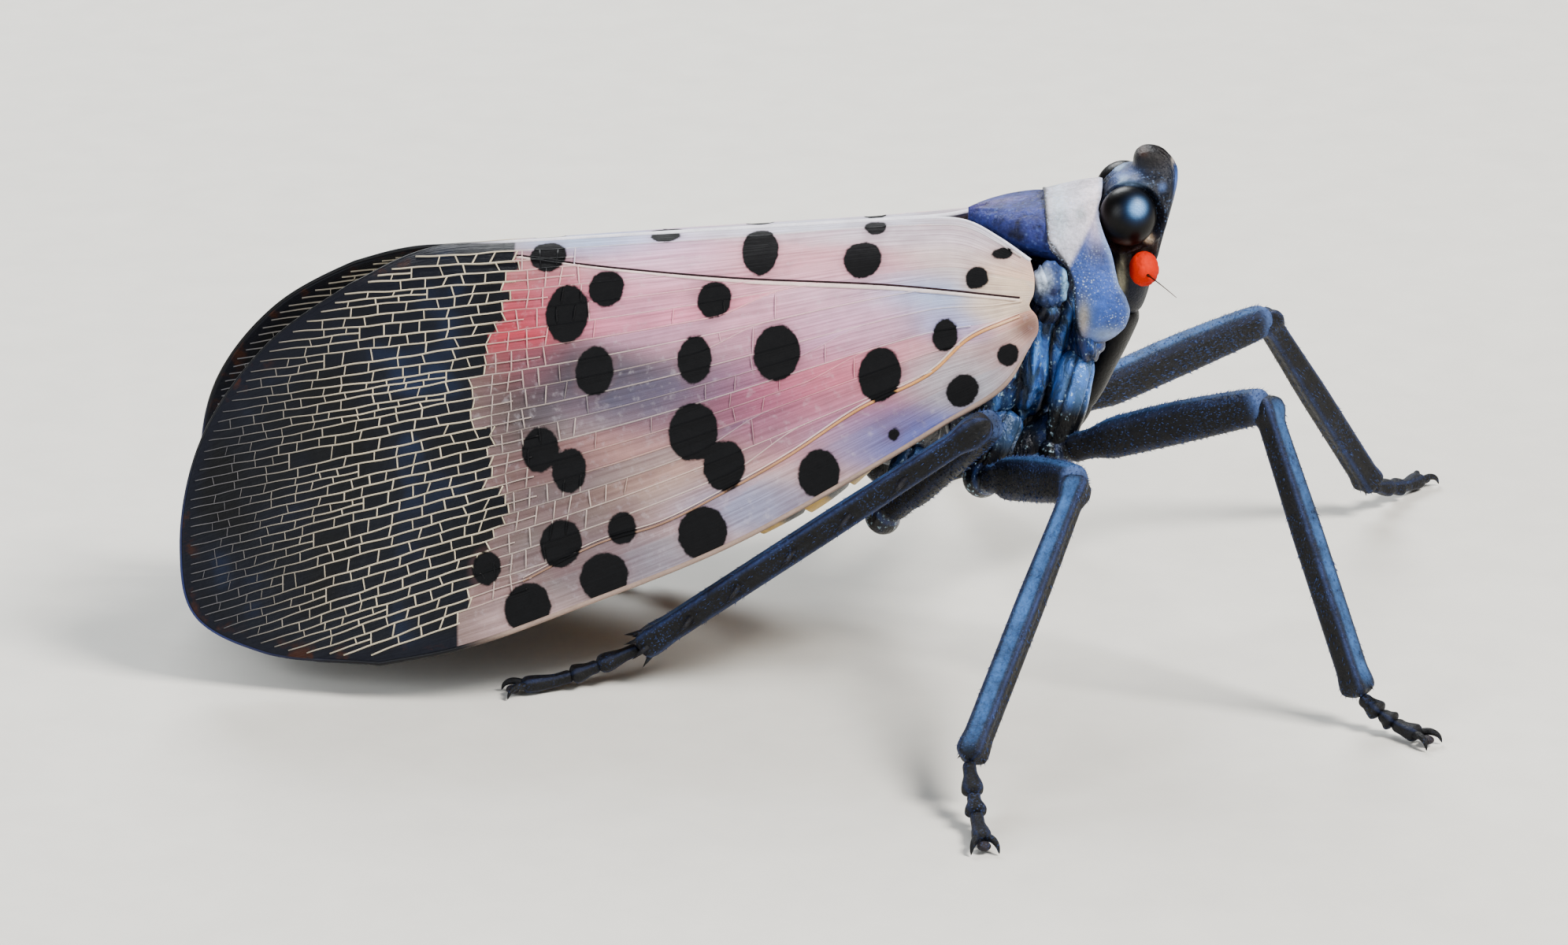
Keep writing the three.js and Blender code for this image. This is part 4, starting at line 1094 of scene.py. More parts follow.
def rim_mesh(name):
    """The margin as one rounded cord, dark blue round the tip and pale in front."""
    x, g = rim_strands()
    centre, normal = roof(x, g), roof_normal(x, np.maximum(g, 0.04))
    along = unit(np.gradient(centre, axis=0))
    across = unit(np.cross(normal, along))
    turn = np.linspace(0, 2 * np.pi, 8, endpoint=False)
    lower = np.linspace(0, 1, len(x)) < 0.36
    size = np.where(lower, 0.07, 0.055) * ease(-0.01, 0.03, np.linspace(0, 1, len(x)))
    rings = (centre - normal * 0.05)[:, None] + (across[:, None] * np.cos(turn)[None, :, None] * 0.9
                                                 + normal[:, None] * np.sin(turn)[None, :, None]) * size[:, None, None]
    sides, count = 8, len(x)
    k = np.arange((count - 1) * sides)
    b = k // sides * sides + (k + 1) % sides
    faces = np.stack([k, b, b + sides, k + sides], axis=1)
    ends = []
    for tip in (0, (count - 1) * sides):
        ends += [[tip, tip + 1, tip + 2, tip + 3], [tip, tip + 3, tip + 4, tip + 7], [tip + 4, tip + 5, tip + 6, tip + 7]]
    piece = from_arrays(name, rings.reshape(-1, 3), np.vstack([faces, np.array(ends)]))
    front = ease(-7.6, -6.2, x)[:, None]
    pale = np.where(lower[:, None], shade(160, 142, 132), shade(226, 224, 232))
    low = ease(5.5, 2.5, ridge(x) - drop_of(g)) * hill(x + 13.6, 1.6)
    blue = mix(shade(16, 17, 26), shade(52, 62, 108), low[:, None])
    tint = mix(blue, pale, front)
    store(piece, "tint", np.repeat(tint, sides, axis=0))
    tidy_normals(piece)
    smooth(piece)
    return piece


def forewing_skin(name, net, stairs, thickness):
    """The forewing's membrane with its wall, pleats and the marks that its material reads."""
    marks = {}

    def form(p, q):
        x, g = tegmen_layout(p, q)
        depth = skin_depth(x, g)
        seen = seen_depth(x, drop_of(g))
        marks["spot"] = spot_distance(x, depth)
        marks["rim"] = to_margin(x, depth)
        share = (seen - NET_TOP) / (NET_BOTTOM + NET_SPREAD * (NET_BOTTOM_AT - x) - NET_TOP)
        steps_x, steps_top, steps_low = np.array(stairs).T
        tops = (steps_top - NET_TOP) / (NET_BOTTOM + NET_SPREAD * (NET_BOTTOM_AT - steps_x) - NET_TOP)
        step = np.clip(np.searchsorted(tops, share) - 1, 0, len(tops) - 1)
        line_x = np.concatenate([steps_x[:1], np.repeat(steps_x, 2), steps_x[-1:]])
        line_seen = np.concatenate([[0.01], np.stack([steps_top, steps_low], axis=1).ravel(), [11]])
        line_depth = skin_depth(line_x, g_of_seen(line_x, line_seen))
        away = distance_to(x, depth, line_x, line_depth)
        marks["zone"] = np.where(x < steps_x[step], away, -away)
        marks["tint"] = wing_tint(net, x, seen)
        pleat = np.zeros(len(x))
        for j in net.main:
            inside = ease(net.front_end[j], net.front_end[j] - 0.8, x) * ease(-8, -6.5, x)
            pleat += inside * hill(seen - net.at(j, x), 0.13)
        soft = roof(x, g) + roof_normal(x, g) * (0.03 * pleat - 0.03 * ease(-8, -6, x))[:, None]
        soft[:, 1] = np.minimum(soft[:, 1], -SEAM * 0.6)
        return soft

    piece = sheet(name, 276, 176, form)
    for key, values in marks.items():
        store(piece, key, values)
    smooth(piece)
    thicken(piece, thickness, (0, -1, 0.3))
    return piece


def blotted(tree, where):
    """Where a black spot lies, with a slightly ragged edge."""
    ragged = math_node(tree, "MULTIPLY", math_node(tree, "SUBTRACT", cloud(tree, where, 5.5, 3), 0.5), 0.12)
    return steps(tree, math_node(tree, "ADD", attribute(tree, "spot").outputs["Fac"], ragged), 0.03, -0.03)


def vein_material():
    """The veins' skin, which turns black inside the spots."""
    material = cuticle("forewing veins", roughness=0.5, amount=0.25, relief=0.006, specular=0.12)
    tree = material.node_tree
    socket = tree.nodes["Principled BSDF"].inputs["Base Color"]
    blot = blotted(tree, node(tree, "TexCoord").outputs["Object"])
    tree.links.new(blend(tree, blot, socket.links[0].from_socket, rgba(colour_of("spot"))), socket)
    return material


def forewing_material():
    """Waxy wing skin: soft colour patches, black spots, and near-black cells in the net."""
    material, tree, shader = new_material("forewing skin")
    where = node(tree, "TexCoord").outputs["Object"]
    layout = node(tree, "UVMap", uv_map="UVMap").outputs["UV"]
    streaky = node(tree, "VectorMath", {0: layout, 1: (7.0, 110.0, 0.0)}, operation="MULTIPLY").outputs[0]
    streaks = node(tree, "TexNoise", {"Vector": streaky, "Scale": 1.0, "Detail": 5.0, "Roughness": 0.6}).outputs["Fac"]
    fine = cloud(tree, where, 5, 6)
    broad = cloud(tree, where, 0.7, 3)
    tint = attribute(tree, "tint").outputs["Color"]
    light = ramp(tree, streaks, [(0.28, (0.58, 0.54, 0.56)), (0.5, (0.94, 0.94, 0.94)), (0.74, (1.28, 1.3, 1.36))])
    ground = blend(tree, 1.0, tint, light, "MULTIPLY")
    haze = steps(tree, fine, 0.52, 0.75)
    ground = blend(tree, math_node(tree, "MULTIPLY", haze, 0.2), ground, rgba(shade(214, 208, 214)))
    dusk = steps(tree, broad, 0.6, 0.3)
    ground = blend(tree, math_node(tree, "MULTIPLY", dusk, 0.35), ground, rgba(shade(128, 104, 112)))

    cells = steps(tree, attribute(tree, "zone").outputs["Fac"], -0.04, 0.04)
    sheen = ramp(tree, cloud(tree, where, 0.45, 2), [(0.35, shade(12, 13, 17)), (0.6, shade(22, 27, 40)),
                                                     (0.75, shade(36, 50, 76))])
    edge = steps(tree, attribute(tree, "rim").outputs["Fac"], 0.5, 0.1)
    rust = steps(tree, cloud(tree, where, 1.3, 4), 0.53, 0.66)
    band = blend(tree, rust, rgba(shade(18, 22, 38)), rgba(shade(72, 42, 26)))
    dark = blend(tree, math_node(tree, "MULTIPLY", edge, 0.9), sheen, band)
    colour = blend(tree, cells, ground, dark)
    blot = blotted(tree, where)
    halo = steps(tree, attribute(tree, "spot").outputs["Fac"], 0.2, 0.0)
    colour = blend(tree, math_node(tree, "MULTIPLY", halo, 0.22), colour, rgba(shade(120, 92, 92)))
    colour = blend(tree, blot, colour, rgba(colour_of("spot")))
    tree.links.new(colour, shader.inputs["Base Color"])

    rough = math_node(tree, "ADD", math_node(tree, "MULTIPLY", fine, 0.25), 0.4)
    rough = math_node(tree, "ADD", rough, math_node(tree, "MULTIPLY", blot, 0.2))
    tree.links.new(rough, shader.inputs["Roughness"])
    shader.inputs["Specular IOR Level"].default_value = 0.14
    height = math_node(tree, "ADD", math_node(tree, "MULTIPLY", streaks, 0.7), math_node(tree, "MULTIPLY", fine, 0.5))
    bump(tree, shader, height, 0.03)
    return material


class LANTERNFLY_OT_forewings(bpy.types.Operator):
    """Both forewings: spotted skin, raised veins, net and margin"""
    bl_idname = "lanternfly.forewings"
    bl_label = "Forewings"

    def execute(self, context):
        sizes = context.scene.lanternfly_sizes
        net = Net(sizes.net_rows, sizes.net_rows_at_tip)
        strands, stairs = forewing_strands(net, sizes.vein_width / MM)
        skin = forewing_skin("forewing_right", net, stairs, sizes.membrane / MM)
        veins = strand_mesh("forewing_veins_right", strands, sizes.membrane / MM + 0.02)
        rim = rim_mesh("forewing_margin_right")
        skin_material = forewing_material()
        ribs_material = vein_material()
        cord_material = cuticle("forewing margin", roughness=0.45, amount=0.3, relief=0.006, specular=0.2)
        for side, flip in (("right", False), ("left", True)):
            wing = mirrored(skin, "forewing_left") if flip else skin
            ribs = mirrored(veins, "forewing_veins_left") if flip else veins
            edge = mirrored(rim, "forewing_margin_left") if flip else rim
            finished(wing, skin_material, "forewing", f"tegmen_{side}")
            finished(ribs, ribs_material, "forewing")
            finished(edge, cord_material, "forewing")
        return {"FINISHED"}


# Hindwings, folded under the forewings

HINDWING_UNDER = 0.9
HINDWING_WALL = 0.1
HINDWING_SPOTS = [(1.2, 7, 0.3), (0.2, 6, 0.34), (-0.6, 7.3, 0.32), (-1.6, 5.6, 0.34), (-2, 6.8, 0.28),
                  (-2.9, 4.6, 0.34), (-1, 4.9, 0.26), (-3.1, 7.6, 0.3)]


class LANTERNFLY_OT_hindwings(bpy.types.Operator):
    """Both hindwings: pleated red sheets with black spots, a pale band and a dark tip"""
    bl_idname = "lanternfly.hindwings"
    bl_label = "Hindwings"

    def execute(self, context):
        def form(p, q):
            x, g = hindwing_layout(p, q)
            pleat = 0.06 * np.cos(q * 2 * np.pi * 13) * ease(0, 0.2, p)
            return roof(x, g) - roof_normal(x, g) * (HINDWING_UNDER + pleat)[:, None]

        wing = sheet("hindwing_shape_right", 120, 160, form)
        spots = measured(wing)
        x, z = spots[:, 0], spots[:, 2]
        red, white, black = colour_of("hindwing"), shade(222, 216, 206), shade(22, 20, 24)
        tint = mix(np.tile(red, (len(x), 1)), white, (ease(-3.4, -4.2, x) * 0.9)[:, None])
        tint = mix(tint, black, ease(-5.4, -5.9, x)[:, None])
        for spot_x, spot_z, size in HINDWING_SPOTS:
            tint = mix(tint, black, ease(size * 1.15, size * 0.9, np.hypot(x - spot_x, z - spot_z))[:, None])
        store(wing, "tint", tint)
        smooth(wing)
        thicken(wing, HINDWING_WALL, (0, -1, 0.3))
        material = cuticle("hindwing skin", roughness=0.5, amount=0.35, grain_count=6, relief=0.02)
        other = mirrored(wing, "hindwing_shape_left")
        finished(wing, material, "hindwing", "hindwing_right")
        finished(other, material, "hindwing", "hindwing_left")
        return {"FINISHED"}


# Head: level sections from its mouth end up to the upturned tip over the frons

HEAD = [(8.3, 7.85, 8.42, 0.5), (8.45, 7.72, 8.52, 0.7), (8.9, 7.58, 8.66, 0.92), (9.4, 7.5, 8.76, 1.02),
        (9.95, 7.46, 8.88, 1.06), (10.5, 7.45, 9.02, 1.04), (11, 7.5, 9.14, 1.0), (11.3, 7.6, 9.2, 0.95),
        (11.5, 7.74, 9.22, 0.88), (11.64, 7.92, 9.22, 0.78), (11.74, 8.12, 9.21, 0.64), (11.84, 8.21, 9.18, 0.52),
        (11.98, 8.22, 9.11, 0.46), (12.12, 8.27, 8.98, 0.4), (12.22, 8.38, 8.82, 0.3), (12.27, 8.5, 8.68, 0.16)]
HEAD_LOW = 8.3
HEAD_TOP = 12.27
BULB_CENTRE = (8.42, -1.74, 9.8)
BULB_RADII = (0.34, 0.42, 0.4)
SOCKET = (8.33, -1.1, 9.86)


def head_form(angle, share, radius):
    z = mix(HEAD_LOW, HEAD_TOP, 0.5 - 0.5 * np.cos(np.pi * share))
    rear, front, wide = profile(HEAD, z)
    c, s = np.cos(angle), np.sin(angle)
    across = np.sign(s) * np.abs(s) ** 0.8
    along = np.sign(c) * np.abs(c) ** 0.7
    x = (rear + front) / 2 + (front - rear) / 2 * along * radius
    y = wide * across * radius
    spots = np.stack([x, y, z], axis=1)
    out = unit(np.stack([along, across, 0 * c], axis=1)) * radius[:, None]
    side = np.abs(y)
    near = np.stack([x, -side, z], axis=1)
    face = ease(0.45, 0.9, c)
    rise = 0.06 * face * hill(side, 0.05) * ease(9.2, 9.6, z)
    rise += 0.05 * face * hill(side - 0.62 * wide, 0.05) * ease(9.2, 9.6, z)
    rise += 0.09 * hill(c - 0.62, 0.08) * ease(9.3, 9.9, z) * ease(12, 11.6, z)
    rise -= 0.06 * face * hill(side - 0.3 * wide, 0.14)
    eye = np.sqrt((((near - EYE_SEEN) / EYE_SEEN_RADII) ** 2).sum(axis=1))
    rise += 0.12 * hill(eye - 1.22, 0.08) - 0.1 * hill(eye - 1.0, 0.12)
    socket = np.linalg.norm(near - SOCKET, axis=1)
    rise += 0.07 * hill(socket - 0.42, 0.07) - 0.14 * hill(socket, 0.3)
    rise -= 0.06 * hill(z - 9.2, 0.06) * ease(-0.2, 0.4, c)
    rise -= 0.05 * hill(z - 10.2 + 0.3 * (x - 8), 0.05) * ease(0.9, 0.3, np.abs(c))
    crown = ease(11.2, 11.5, z) * ease(11.9, 11.6, z) * ease(0.2, -0.5, c)
    rise -= 0.09 * crown * hill(side - 0.36, 0.2)
    rise += 0.03 * crown * hill(side, 0.06)
    return spots + out * rise[:, None]


class LANTERNFLY_OT_head(bpy.types.Operator):
    """The head with its keels, eye rims and upturned tip"""
    bl_idname = "lanternfly.head"
    bl_label = "Head"

    def execute(self, context):
        head = bar("head_shape", 128, 98, head_form)
        tidy_normals(head)
        smooth(head)
        x, y, z = EYE_SEEN
        paint(head, shade(30, 38, 56), [
            ((7.85, -0.4, 11.65), (0.5, 0.8, 0.24), shade(96, 120, 172), 0.9),
            # A thin pale blue band across the vertex is a painted highlight.
            ((7.95, -0.6, 11.58), (0.5, 0.4, 0.07), shade(186, 212, 240), 0.95),
            ((8.7, 0, 12.08), (0.52, 0.8, 0.34), shade(28, 19, 15), 1.0),
            ((8.42, -0.2, 12.2), (0.14, 0.4, 0.1), shade(84, 62, 50), 0.6),
            # A pale spot on the front edge of the upturned tip is a painted highlight.
            ((9.16, -0.2, 11.95), (0.05, 0.4, 0.1), shade(176, 170, 164), 0.9),
            ((9.25, 0, 11.4), (0.1, 0.9, 0.42), shade(66, 104, 170), 0.95),
            ((8.86, -0.72, 11.5), (0.1, 0.3, 0.1), shade(96, 120, 164), 0.8),
            ((x, y - 0.1, z), (0.84, 0.9, 0.9), shade(8, 8, 11), 1.0),
            ((x + 0.1, y, z - 0.78), (0.6, 0.4, 0.14), shade(104, 62, 40), 0.85),
            ((8.52, -1.08, 10.33), (0.13, 0.3, 0.1), shade(236, 214, 186), 1.0),
            ((7.93, -1, 9.35), (0.1, 0.4, 0.5), shade(226, 222, 192), 1.0),
            ((8.6, -1, 10.1), (0.3, 0.3, 0.14), shade(56, 36, 30), 0.8),
            ((8.33, -1.1, 9.86), (0.55, 0.4, 0.5), shade(60, 34, 26), 0.9),
            ((8.7, 0, 9.2), (0.4, 1.2, 0.9), shade(10, 10, 13), 0.95),
        ])
        spots = measured(head)
        store(head, "wax", 0.5 * ease(11.9, 11.7, spots[:, 2]) * ease(9.6, 10.2, spots[:, 2]))
        material = cuticle("head cuticle", roughness=0.36, amount=0.7, cloud_count=2.4, relief=0.03, specular=0.22,
                           wax=shade(130, 156, 196), cover="wax", fleck_count=13)
        finished(head, material, "head_cuticle", "head")
        return {"FINISHED"}


class LANTERNFLY_OT_eyes(bpy.types.Operator):
    """Two dark, glossy eyes with fine facets"""
    bl_idname = "lanternfly.eyes"
    bl_label = "Eyes"

    def execute(self, context):
        material, tree, shader = new_material("eye lens")
        where = node(tree, "TexCoord").outputs["Object"]
        facets = node(tree, "TexVoronoi", {"Vector": where, "Scale": per_mm(24), "Randomness": 0.25})
        tint = attribute(tree, "tint").outputs["Color"]
        spark = steps(tree, facets.outputs["Distance"], 0.1, 0.6)
        colour = blend(tree, math_node(tree, "MULTIPLY", spark, 0.3), tint, rgba(shade(6, 5, 6)))
        tree.links.new(colour, shader.inputs["Base Color"])
        tree.links.new(math_node(tree, "MULTIPLY_ADD", spark, 0.1), shader.inputs["Roughness"])
        shader.inputs["Roughness"].links[0].from_node.inputs[2].default_value = 0.3
        shader.inputs["Specular IOR Level"].default_value = 0.13
        bump(tree, shader, facets.outputs["Distance"], 0.003, 0.5)
        eye = ball("eye_shape_right", EYE_SEEN, EYE_SEEN_RADII, 96, 64)
        x, y, z = EYE_SEEN
        paint(eye, shade(14, 12, 12), [
            # Two soft pale blue patches on the upper front are a painted reflection of light on the black eye.
            ((x + 0.17, y - 0.5, z + 0.3), (0.3, 0.5, 0.29), shade(60, 88, 126), 0.65),
            ((x + 0.2, y - 0.5, z + 0.34), (0.19, 0.4, 0.18), shade(150, 196, 244), 0.9),
            ((x - 0.1, y - 0.3, z - 0.64), (0.6, 0.6, 0.2), shade(86, 42, 28), 0.9),
            ((x - 0.6, y - 0.2, z), (0.2, 0.6, 0.5), shade(40, 24, 20), 0.7),
        ])
        other = mirrored(eye, "eye_shape_left")
        finished(eye, material, "eye", "eye_right")
        finished(other, material, "eye", "eye_left")
        return {"FINISHED"}


class LANTERNFLY_OT_feelers(bpy.types.Operator):
    """Two feelers: a short stalk, an orange bulb set with small bumps, and a fine bristle"""
    bl_idname = "lanternfly.feelers"
    bl_label = "Feelers"

    def execute(self, context):
        x, y, z = BULB_CENTRE
        knobs = np.random.default_rng(3).normal(size=(70, 3))
        knobs = unit(knobs)

        def pimpled(ways):
            near = np.max(unit(ways) @ knobs.T, axis=1)
            return 1 + 0.035 * ease(0.965, 0.995, near)

        bulb = ball("feeler_right", BULB_CENTRE, BULB_RADII, 96, 64, pimpled)
        orange = colour_of("bulb")
        # Over the orange, the darker lower front and rear edge are painted shade and the brighter upper near side is a
        # painted highlight.
        paint(bulb, orange, [((x + 0.3, y, z - 0.3), (0.25, 0.5, 0.25), shade(160, 26, 0), 0.7),
                             ((x - 0.36, y, z), (0.14, 0.5, 0.4), shade(120, 22, 2), 0.9),
                             ((x, y - 0.3, z + 0.15), (0.2, 0.3, 0.25), shade(220, 62, 0), 0.7)])
        stalk = limb("stalk", [(x - 0.08, -1.0, z + 0.1), (x - 0.04, -1.3, z + 0.05), (x, y + 0.2, z)],
                     [(0, 0.24, 0.24), (0.5, 0.2, 0.2), (1, 0.28, 0.28)], 20, 16)
        paint(stalk, shade(40, 22, 18), [])
        bristle = limb("bristle", [(x, y - 0.3, z), (x + 0.3, y - 0.75, z - 0.1), (x + 0.7, y - 1.25, z - 0.3)],
                       [(0, 0.05, 0.05), (0.12, 0.035, 0.035), (0.2, 0.018, 0.018), (1, 0.007, 0.007)], 10, 30)
        paint(bristle, shade(74, 40, 26), [])
        feeler = joined("feeler_right", [bulb, stalk, bristle])
        material = cuticle("feeler skin", roughness=0.6, amount=0.25, relief=0.012, specular=0.05)
        other = mirrored(feeler, "feeler_left")
        finished(feeler, material, "feeler_bulb", "antenna_right")
        finished(other, material, "feeler_bulb", "antenna_left")
        return {"FINISHED"}


BEAK_PATH = [(8.16, 0, 8.5), (7.95, 0, 7.98), (7.75, 0, 7.45), (7.54, 0, 6.95), (7.3, 0, 6.3), (6.96, 0, 5.55),
             (6.3, 0, 4.92), (5.2, 0, 4.5), (4, 0, 4.1), (2.7, 0, 3.6)]
BEAK_STATIONS = [(0, 0.56, 0.4), (0.06, 0.62, 0.44), (0.15, 0.57, 0.41), (0.26, 0.43, 0.36), (0.34, 0.31, 0.28),
                 (0.355, 0.25, 0.24), (0.37, 0.29, 0.27), (0.55, 0.26, 0.23), (0.63, 0.24, 0.22), (0.64, 0.19, 0.18),
                 (0.655, 0.24, 0.22), (0.97, 0.17, 0.16), (1, 0.1, 0.1)]


class LANTERNFLY_OT_beak(bpy.types.Operator):
    """The beak, broad below the face and slim between the legs"""
    bl_idname = "lanternfly.beak"
    bl_label = "Beak"

    def execute(self, context):
        def relief(angle, share):
            groove = 0.1 * hill(np.sin(angle) - 1, 0.05) * ease(0.3, 0.4, share)
            keel = 0.12 * hill(np.cos(angle), 0.15) * (np.sin(angle) < 0) * ease(0.3, 0.1, share)
            return 1 - groove + keel

        beak = limb("beak_shape", BEAK_PATH, BEAK_STATIONS, 28, 98, (1, 0, 0.4), relief)
        paint(beak, shade(9, 9, 12), [((8, 0, 8), (0.6, 0.7, 0.4), shade(16, 18, 26), 0.7)])
        material = cuticle("beak cuticle", roughness=0.36, amount=0.5, relief=0.015, specular=0.2)
        finished(beak, material, "beak", "rostrum")
        return {"FINISHED"}


# Pronotum: a saddle over the neck with a lobe down each cheek, from its edges at each height

PRONOTUM_REAR = [(7.92, 7.26), (7.95, 7.16), (8.03, 7.05), (8.22, 6.93), (8.8, 6.81), (9.48, 6.76), (9.95, 6.6), (10.2, 6.4),
                 (10.5, 6.16), (11.3, 6.12)]
PRONOTUM_FRONT = [(7.92, 7.42), (7.95, 7.52), (8.03, 7.66), (8.16, 7.82), (8.43, 8.02), (8.8, 8.1), (9.11, 8.02), (9.48, 7.82),
                  (10.1, 7.66), (10.6, 7.44), (10.9, 7.36), (11.3, 7.5)]
SADDLE = [(5.9, 2.08, 1.96), (6.6, 2.22, 2.02), (7.5, 2.4, 1.98), (8.5, 2.42, 1.84)]
SADDLE_LEVEL = 9
SADDLE_DOWN = 1.7
LOW_ANGLE = -math.asin((SADDLE_LEVEL - 7.93) / SADDLE_DOWN)


class LANTERNFLY_OT_pronotum(bpy.types.Operator):
    """The plate behind the head, with a rounded lobe down each cheek"""
    bl_idname = "lanternfly.pronotum"
    bl_label = "Pronotum"

    def execute(self, context):
        def form(p, q):
            angle = mix(LOW_ANGLE, np.pi - LOW_ANGLE, p)
            sine = np.sin(angle)
            level = SADDLE_LEVEL + sine * np.where(sine > 0, 2.3, SADDLE_DOWN)
            rear = profile(PRONOTUM_REAR, level)[0]
            front = profile(PRONOTUM_FRONT, level)[0]
            x = mix(rear, front, q)
            up, wide = profile(SADDLE, x)
            lobe = ease(10.2, 9.2, level)
            bulge = (np.sin(np.pi * q) ** 0.6) * mix(0.05, 0.16, lobe)
            border = hill(q, 0.05) + 0.7 * hill(1 - q, 0.05)
            bulge += 0.04 * border * mix(1, 0.4, lobe)
            middle = np.abs(np.cos(angle))
            bulge += 0.06 * hill(middle, 0.035) * (sine > 0)
            pit = np.hypot((x - 6.95), (level - 10.82) * 1.1)
            bulge -= 0.05 * hill(pit, 0.16)
            crease = np.abs(level - 10.4 - 1.6 * (x - 7))
            bulge -= 0.05 * hill(crease, 0.07)
            y = np.cos(angle) * (wide + bulge)
            z = SADDLE_LEVEL + sine * np.where(sine > 0, up + bulge, SADDLE_DOWN + bulge * 0.5)
            return np.stack([x, y, z], axis=1)

        plate = sheet("pronotum_shape", 200, 48, form)
        smooth(plate)
        spots = measured(plate)
        x, z = spots[:, 0], spots[:, 2]
        rear = profile(PRONOTUM_REAR, z)[0]
        front = profile(PRONOTUM_FRONT, z)[0]
        lobe = ease(10.95, 10.65, z - 1.7 * (x - 7.2))[:, None]
        tint = mix(colour_of("pronotum"), shade(68, 102, 172), lobe)
        lit = [(7.0, 8.75, 0.2, 0.42, shade(108, 126, 128), 0.9), (7.35, 10.2, 0.3, 0.4, shade(40, 62, 112), 0.8),
               (7.55, 8.25, 0.4, 0.2, shade(156, 176, 206), 0.8), (7.0, 8.55, 0.12, 0.5, shade(196, 184, 172), 0.7),
               (6.45, 10.9, 0.2, 0.5, shade(190, 204, 214), 0.7), (7.3, 11, 0.3, 0.5, shade(232, 216, 220), 0.7)]
        for lit_x, lit_z, wide, high, colour, strength in lit:
            share = strength * np.exp(-((x - lit_x) / wide) ** 2 - ((z - lit_z) / high) ** 2)
            tint = mix(tint, colour, share[:, None])
        # A pale strip along the upper front edge is a painted highlight.
        tint = mix(tint, shade(150, 172, 208), (hill(x - front, 0.08) * 0.6 * ease(8.2, 8.8, z))[:, None])
        edge = hill(x - rear, 0.07) + (ease(8.2, 8.0, z) * hill(z - 7.95, 0.07))
        tint = mix(tint, shade(10, 12, 18), np.clip(edge, 0, 0.95)[:, None])
        pit = np.hypot(x - 6.95, (z - 10.95) * 1.1)
        tint = mix(tint, shade(134, 150, 150), (0.6 * hill(pit, 0.15))[:, None])
        store(plate, "tint", tint)
        thicken(plate, 0.22, (0, 0, 1))
        tidy_normals(plate)
        material = cuticle("pronotum cuticle", roughness=0.4, amount=0.75, grain_count=10, relief=0.05, specular=0.35,
                           wax=shade(196, 214, 240), cover=0.75, fleck_count=15)
        finished(plate, material, "pronotum_cuticle", "pronotum")
        return {"FINISHED"}


# Thorax: egg-shaped sections along x, as (x, centre z, up, down, half width)

MESOTHORAX = [(3.85, 7.3, 1.7, 2.0, 1.3), (3.95, 7.3, 2.15, 2.4, 1.7), (4.7, 7.5, 2.15, 2.5, 1.82),
              (5.5, 7.6, 2.15, 2.4, 1.78), (6.2, 7.8, 2.15, 2.2, 1.6), (6.75, 8.2, 1.95, 1.8, 1.12),
              (7.15, 8.6, 1.5, 1.3, 0.72), (7.3, 8.7, 0.9, 0.8, 0.4)]
METATHORAX = [(2.2, 6.35, 1.2, 1.4, 1.0), (2.35, 6.4, 1.8, 2, 1.5), (3, 6.8, 2, 2.3, 1.68), (3.65, 7.1, 2.1, 2.3, 1.62),
              (3.78, 7.15, 1.5, 1.7, 1.1)]
# Creases down the thorax's side, as lines of (x, z) with a half width and a depth
PLEURA_FOLDS = [
    ([(6.6, 8.9), (6.3, 7.9), (6.25, 6.7), (6.05, 5.9)], 0.07, 0.14),
    ([(6.95, 8.5), (6.8, 7.7), (6.6, 6.9), (6.5, 6.1)], 0.06, 0.1),
    ([(5.8, 8.6), (5.6, 7.5), (5.5, 6.4), (5.3, 5.6)], 0.08, 0.14),
    ([(4.9, 8.2), (4.7, 7.2), (4.6, 6.2), (4.5, 5.4)], 0.09, 0.14),
    ([(5.4, 7.0), (6.1, 6.6), (6.9, 6.9)], 0.06, 0.08),
    ([(4.2, 6.3), (5.0, 6.0), (5.9, 6.2)], 0.08, 0.1),
]
PLEURA_RIDGES = [
    ([(6.78, 8.7), (6.55, 7.8), (6.42, 6.8), (6.25, 6.0)], 0.06, 0.09),
    ([(6.05, 8.7), (5.9, 7.7), (5.82, 6.6), (5.6, 5.7)], 0.07, 0.1),
    ([(5.2, 8.3), (5.05, 7.3), (5.0, 6.3)], 0.08, 0.09),
    ([(6.35, 8.6), (6.2, 7.6), (6.1, 6.6)], 0.04, 0.07),
]
# A line along the plate between the hips, and dark lines over the scale at the wing's root
HIP_PLATE = [(6.85, -1.25, 6.0), (6.1, -1.42, 5.42), (5.3, -1.4, 5.0), (4.2, -1.2, 4.75)]
SCALE_LINES = [
    ([(5.98, 10.0), (6.16, 9.62), (6.1, 9.3), (6.26, 8.9)], 0.025, 0.05),
    ([(6.62, 9.55), (6.46, 9.35), (6.44, 9.05), (6.34, 8.75)], 0.03, 0.06),
]
SCUTELLUM = [(6.55, 1.5, 10.95, 10.2), (6, 1.34, 11.02, 10.34), (5.5, 1.16, 10.98, 10.4), (5, 0.8, 10.9, 10.5),
             (4.65, 0.46, 10.82, 10.56), (4.35, 0.12, 10.72, 10.62)]
TEGULA_CENTRE = (6.22, -1.84, 9.42)
TEGULA_RADII = (0.44, 0.34, 0.6)


def fold_depth(x, z, folds):
    depth = np.zeros(len(x))
    for points, width, size in folds:
        line = Path(points).spots
        depth += size * hill(distance_to(x, z, line[:, 0], line[:, 1]), width)
    return depth


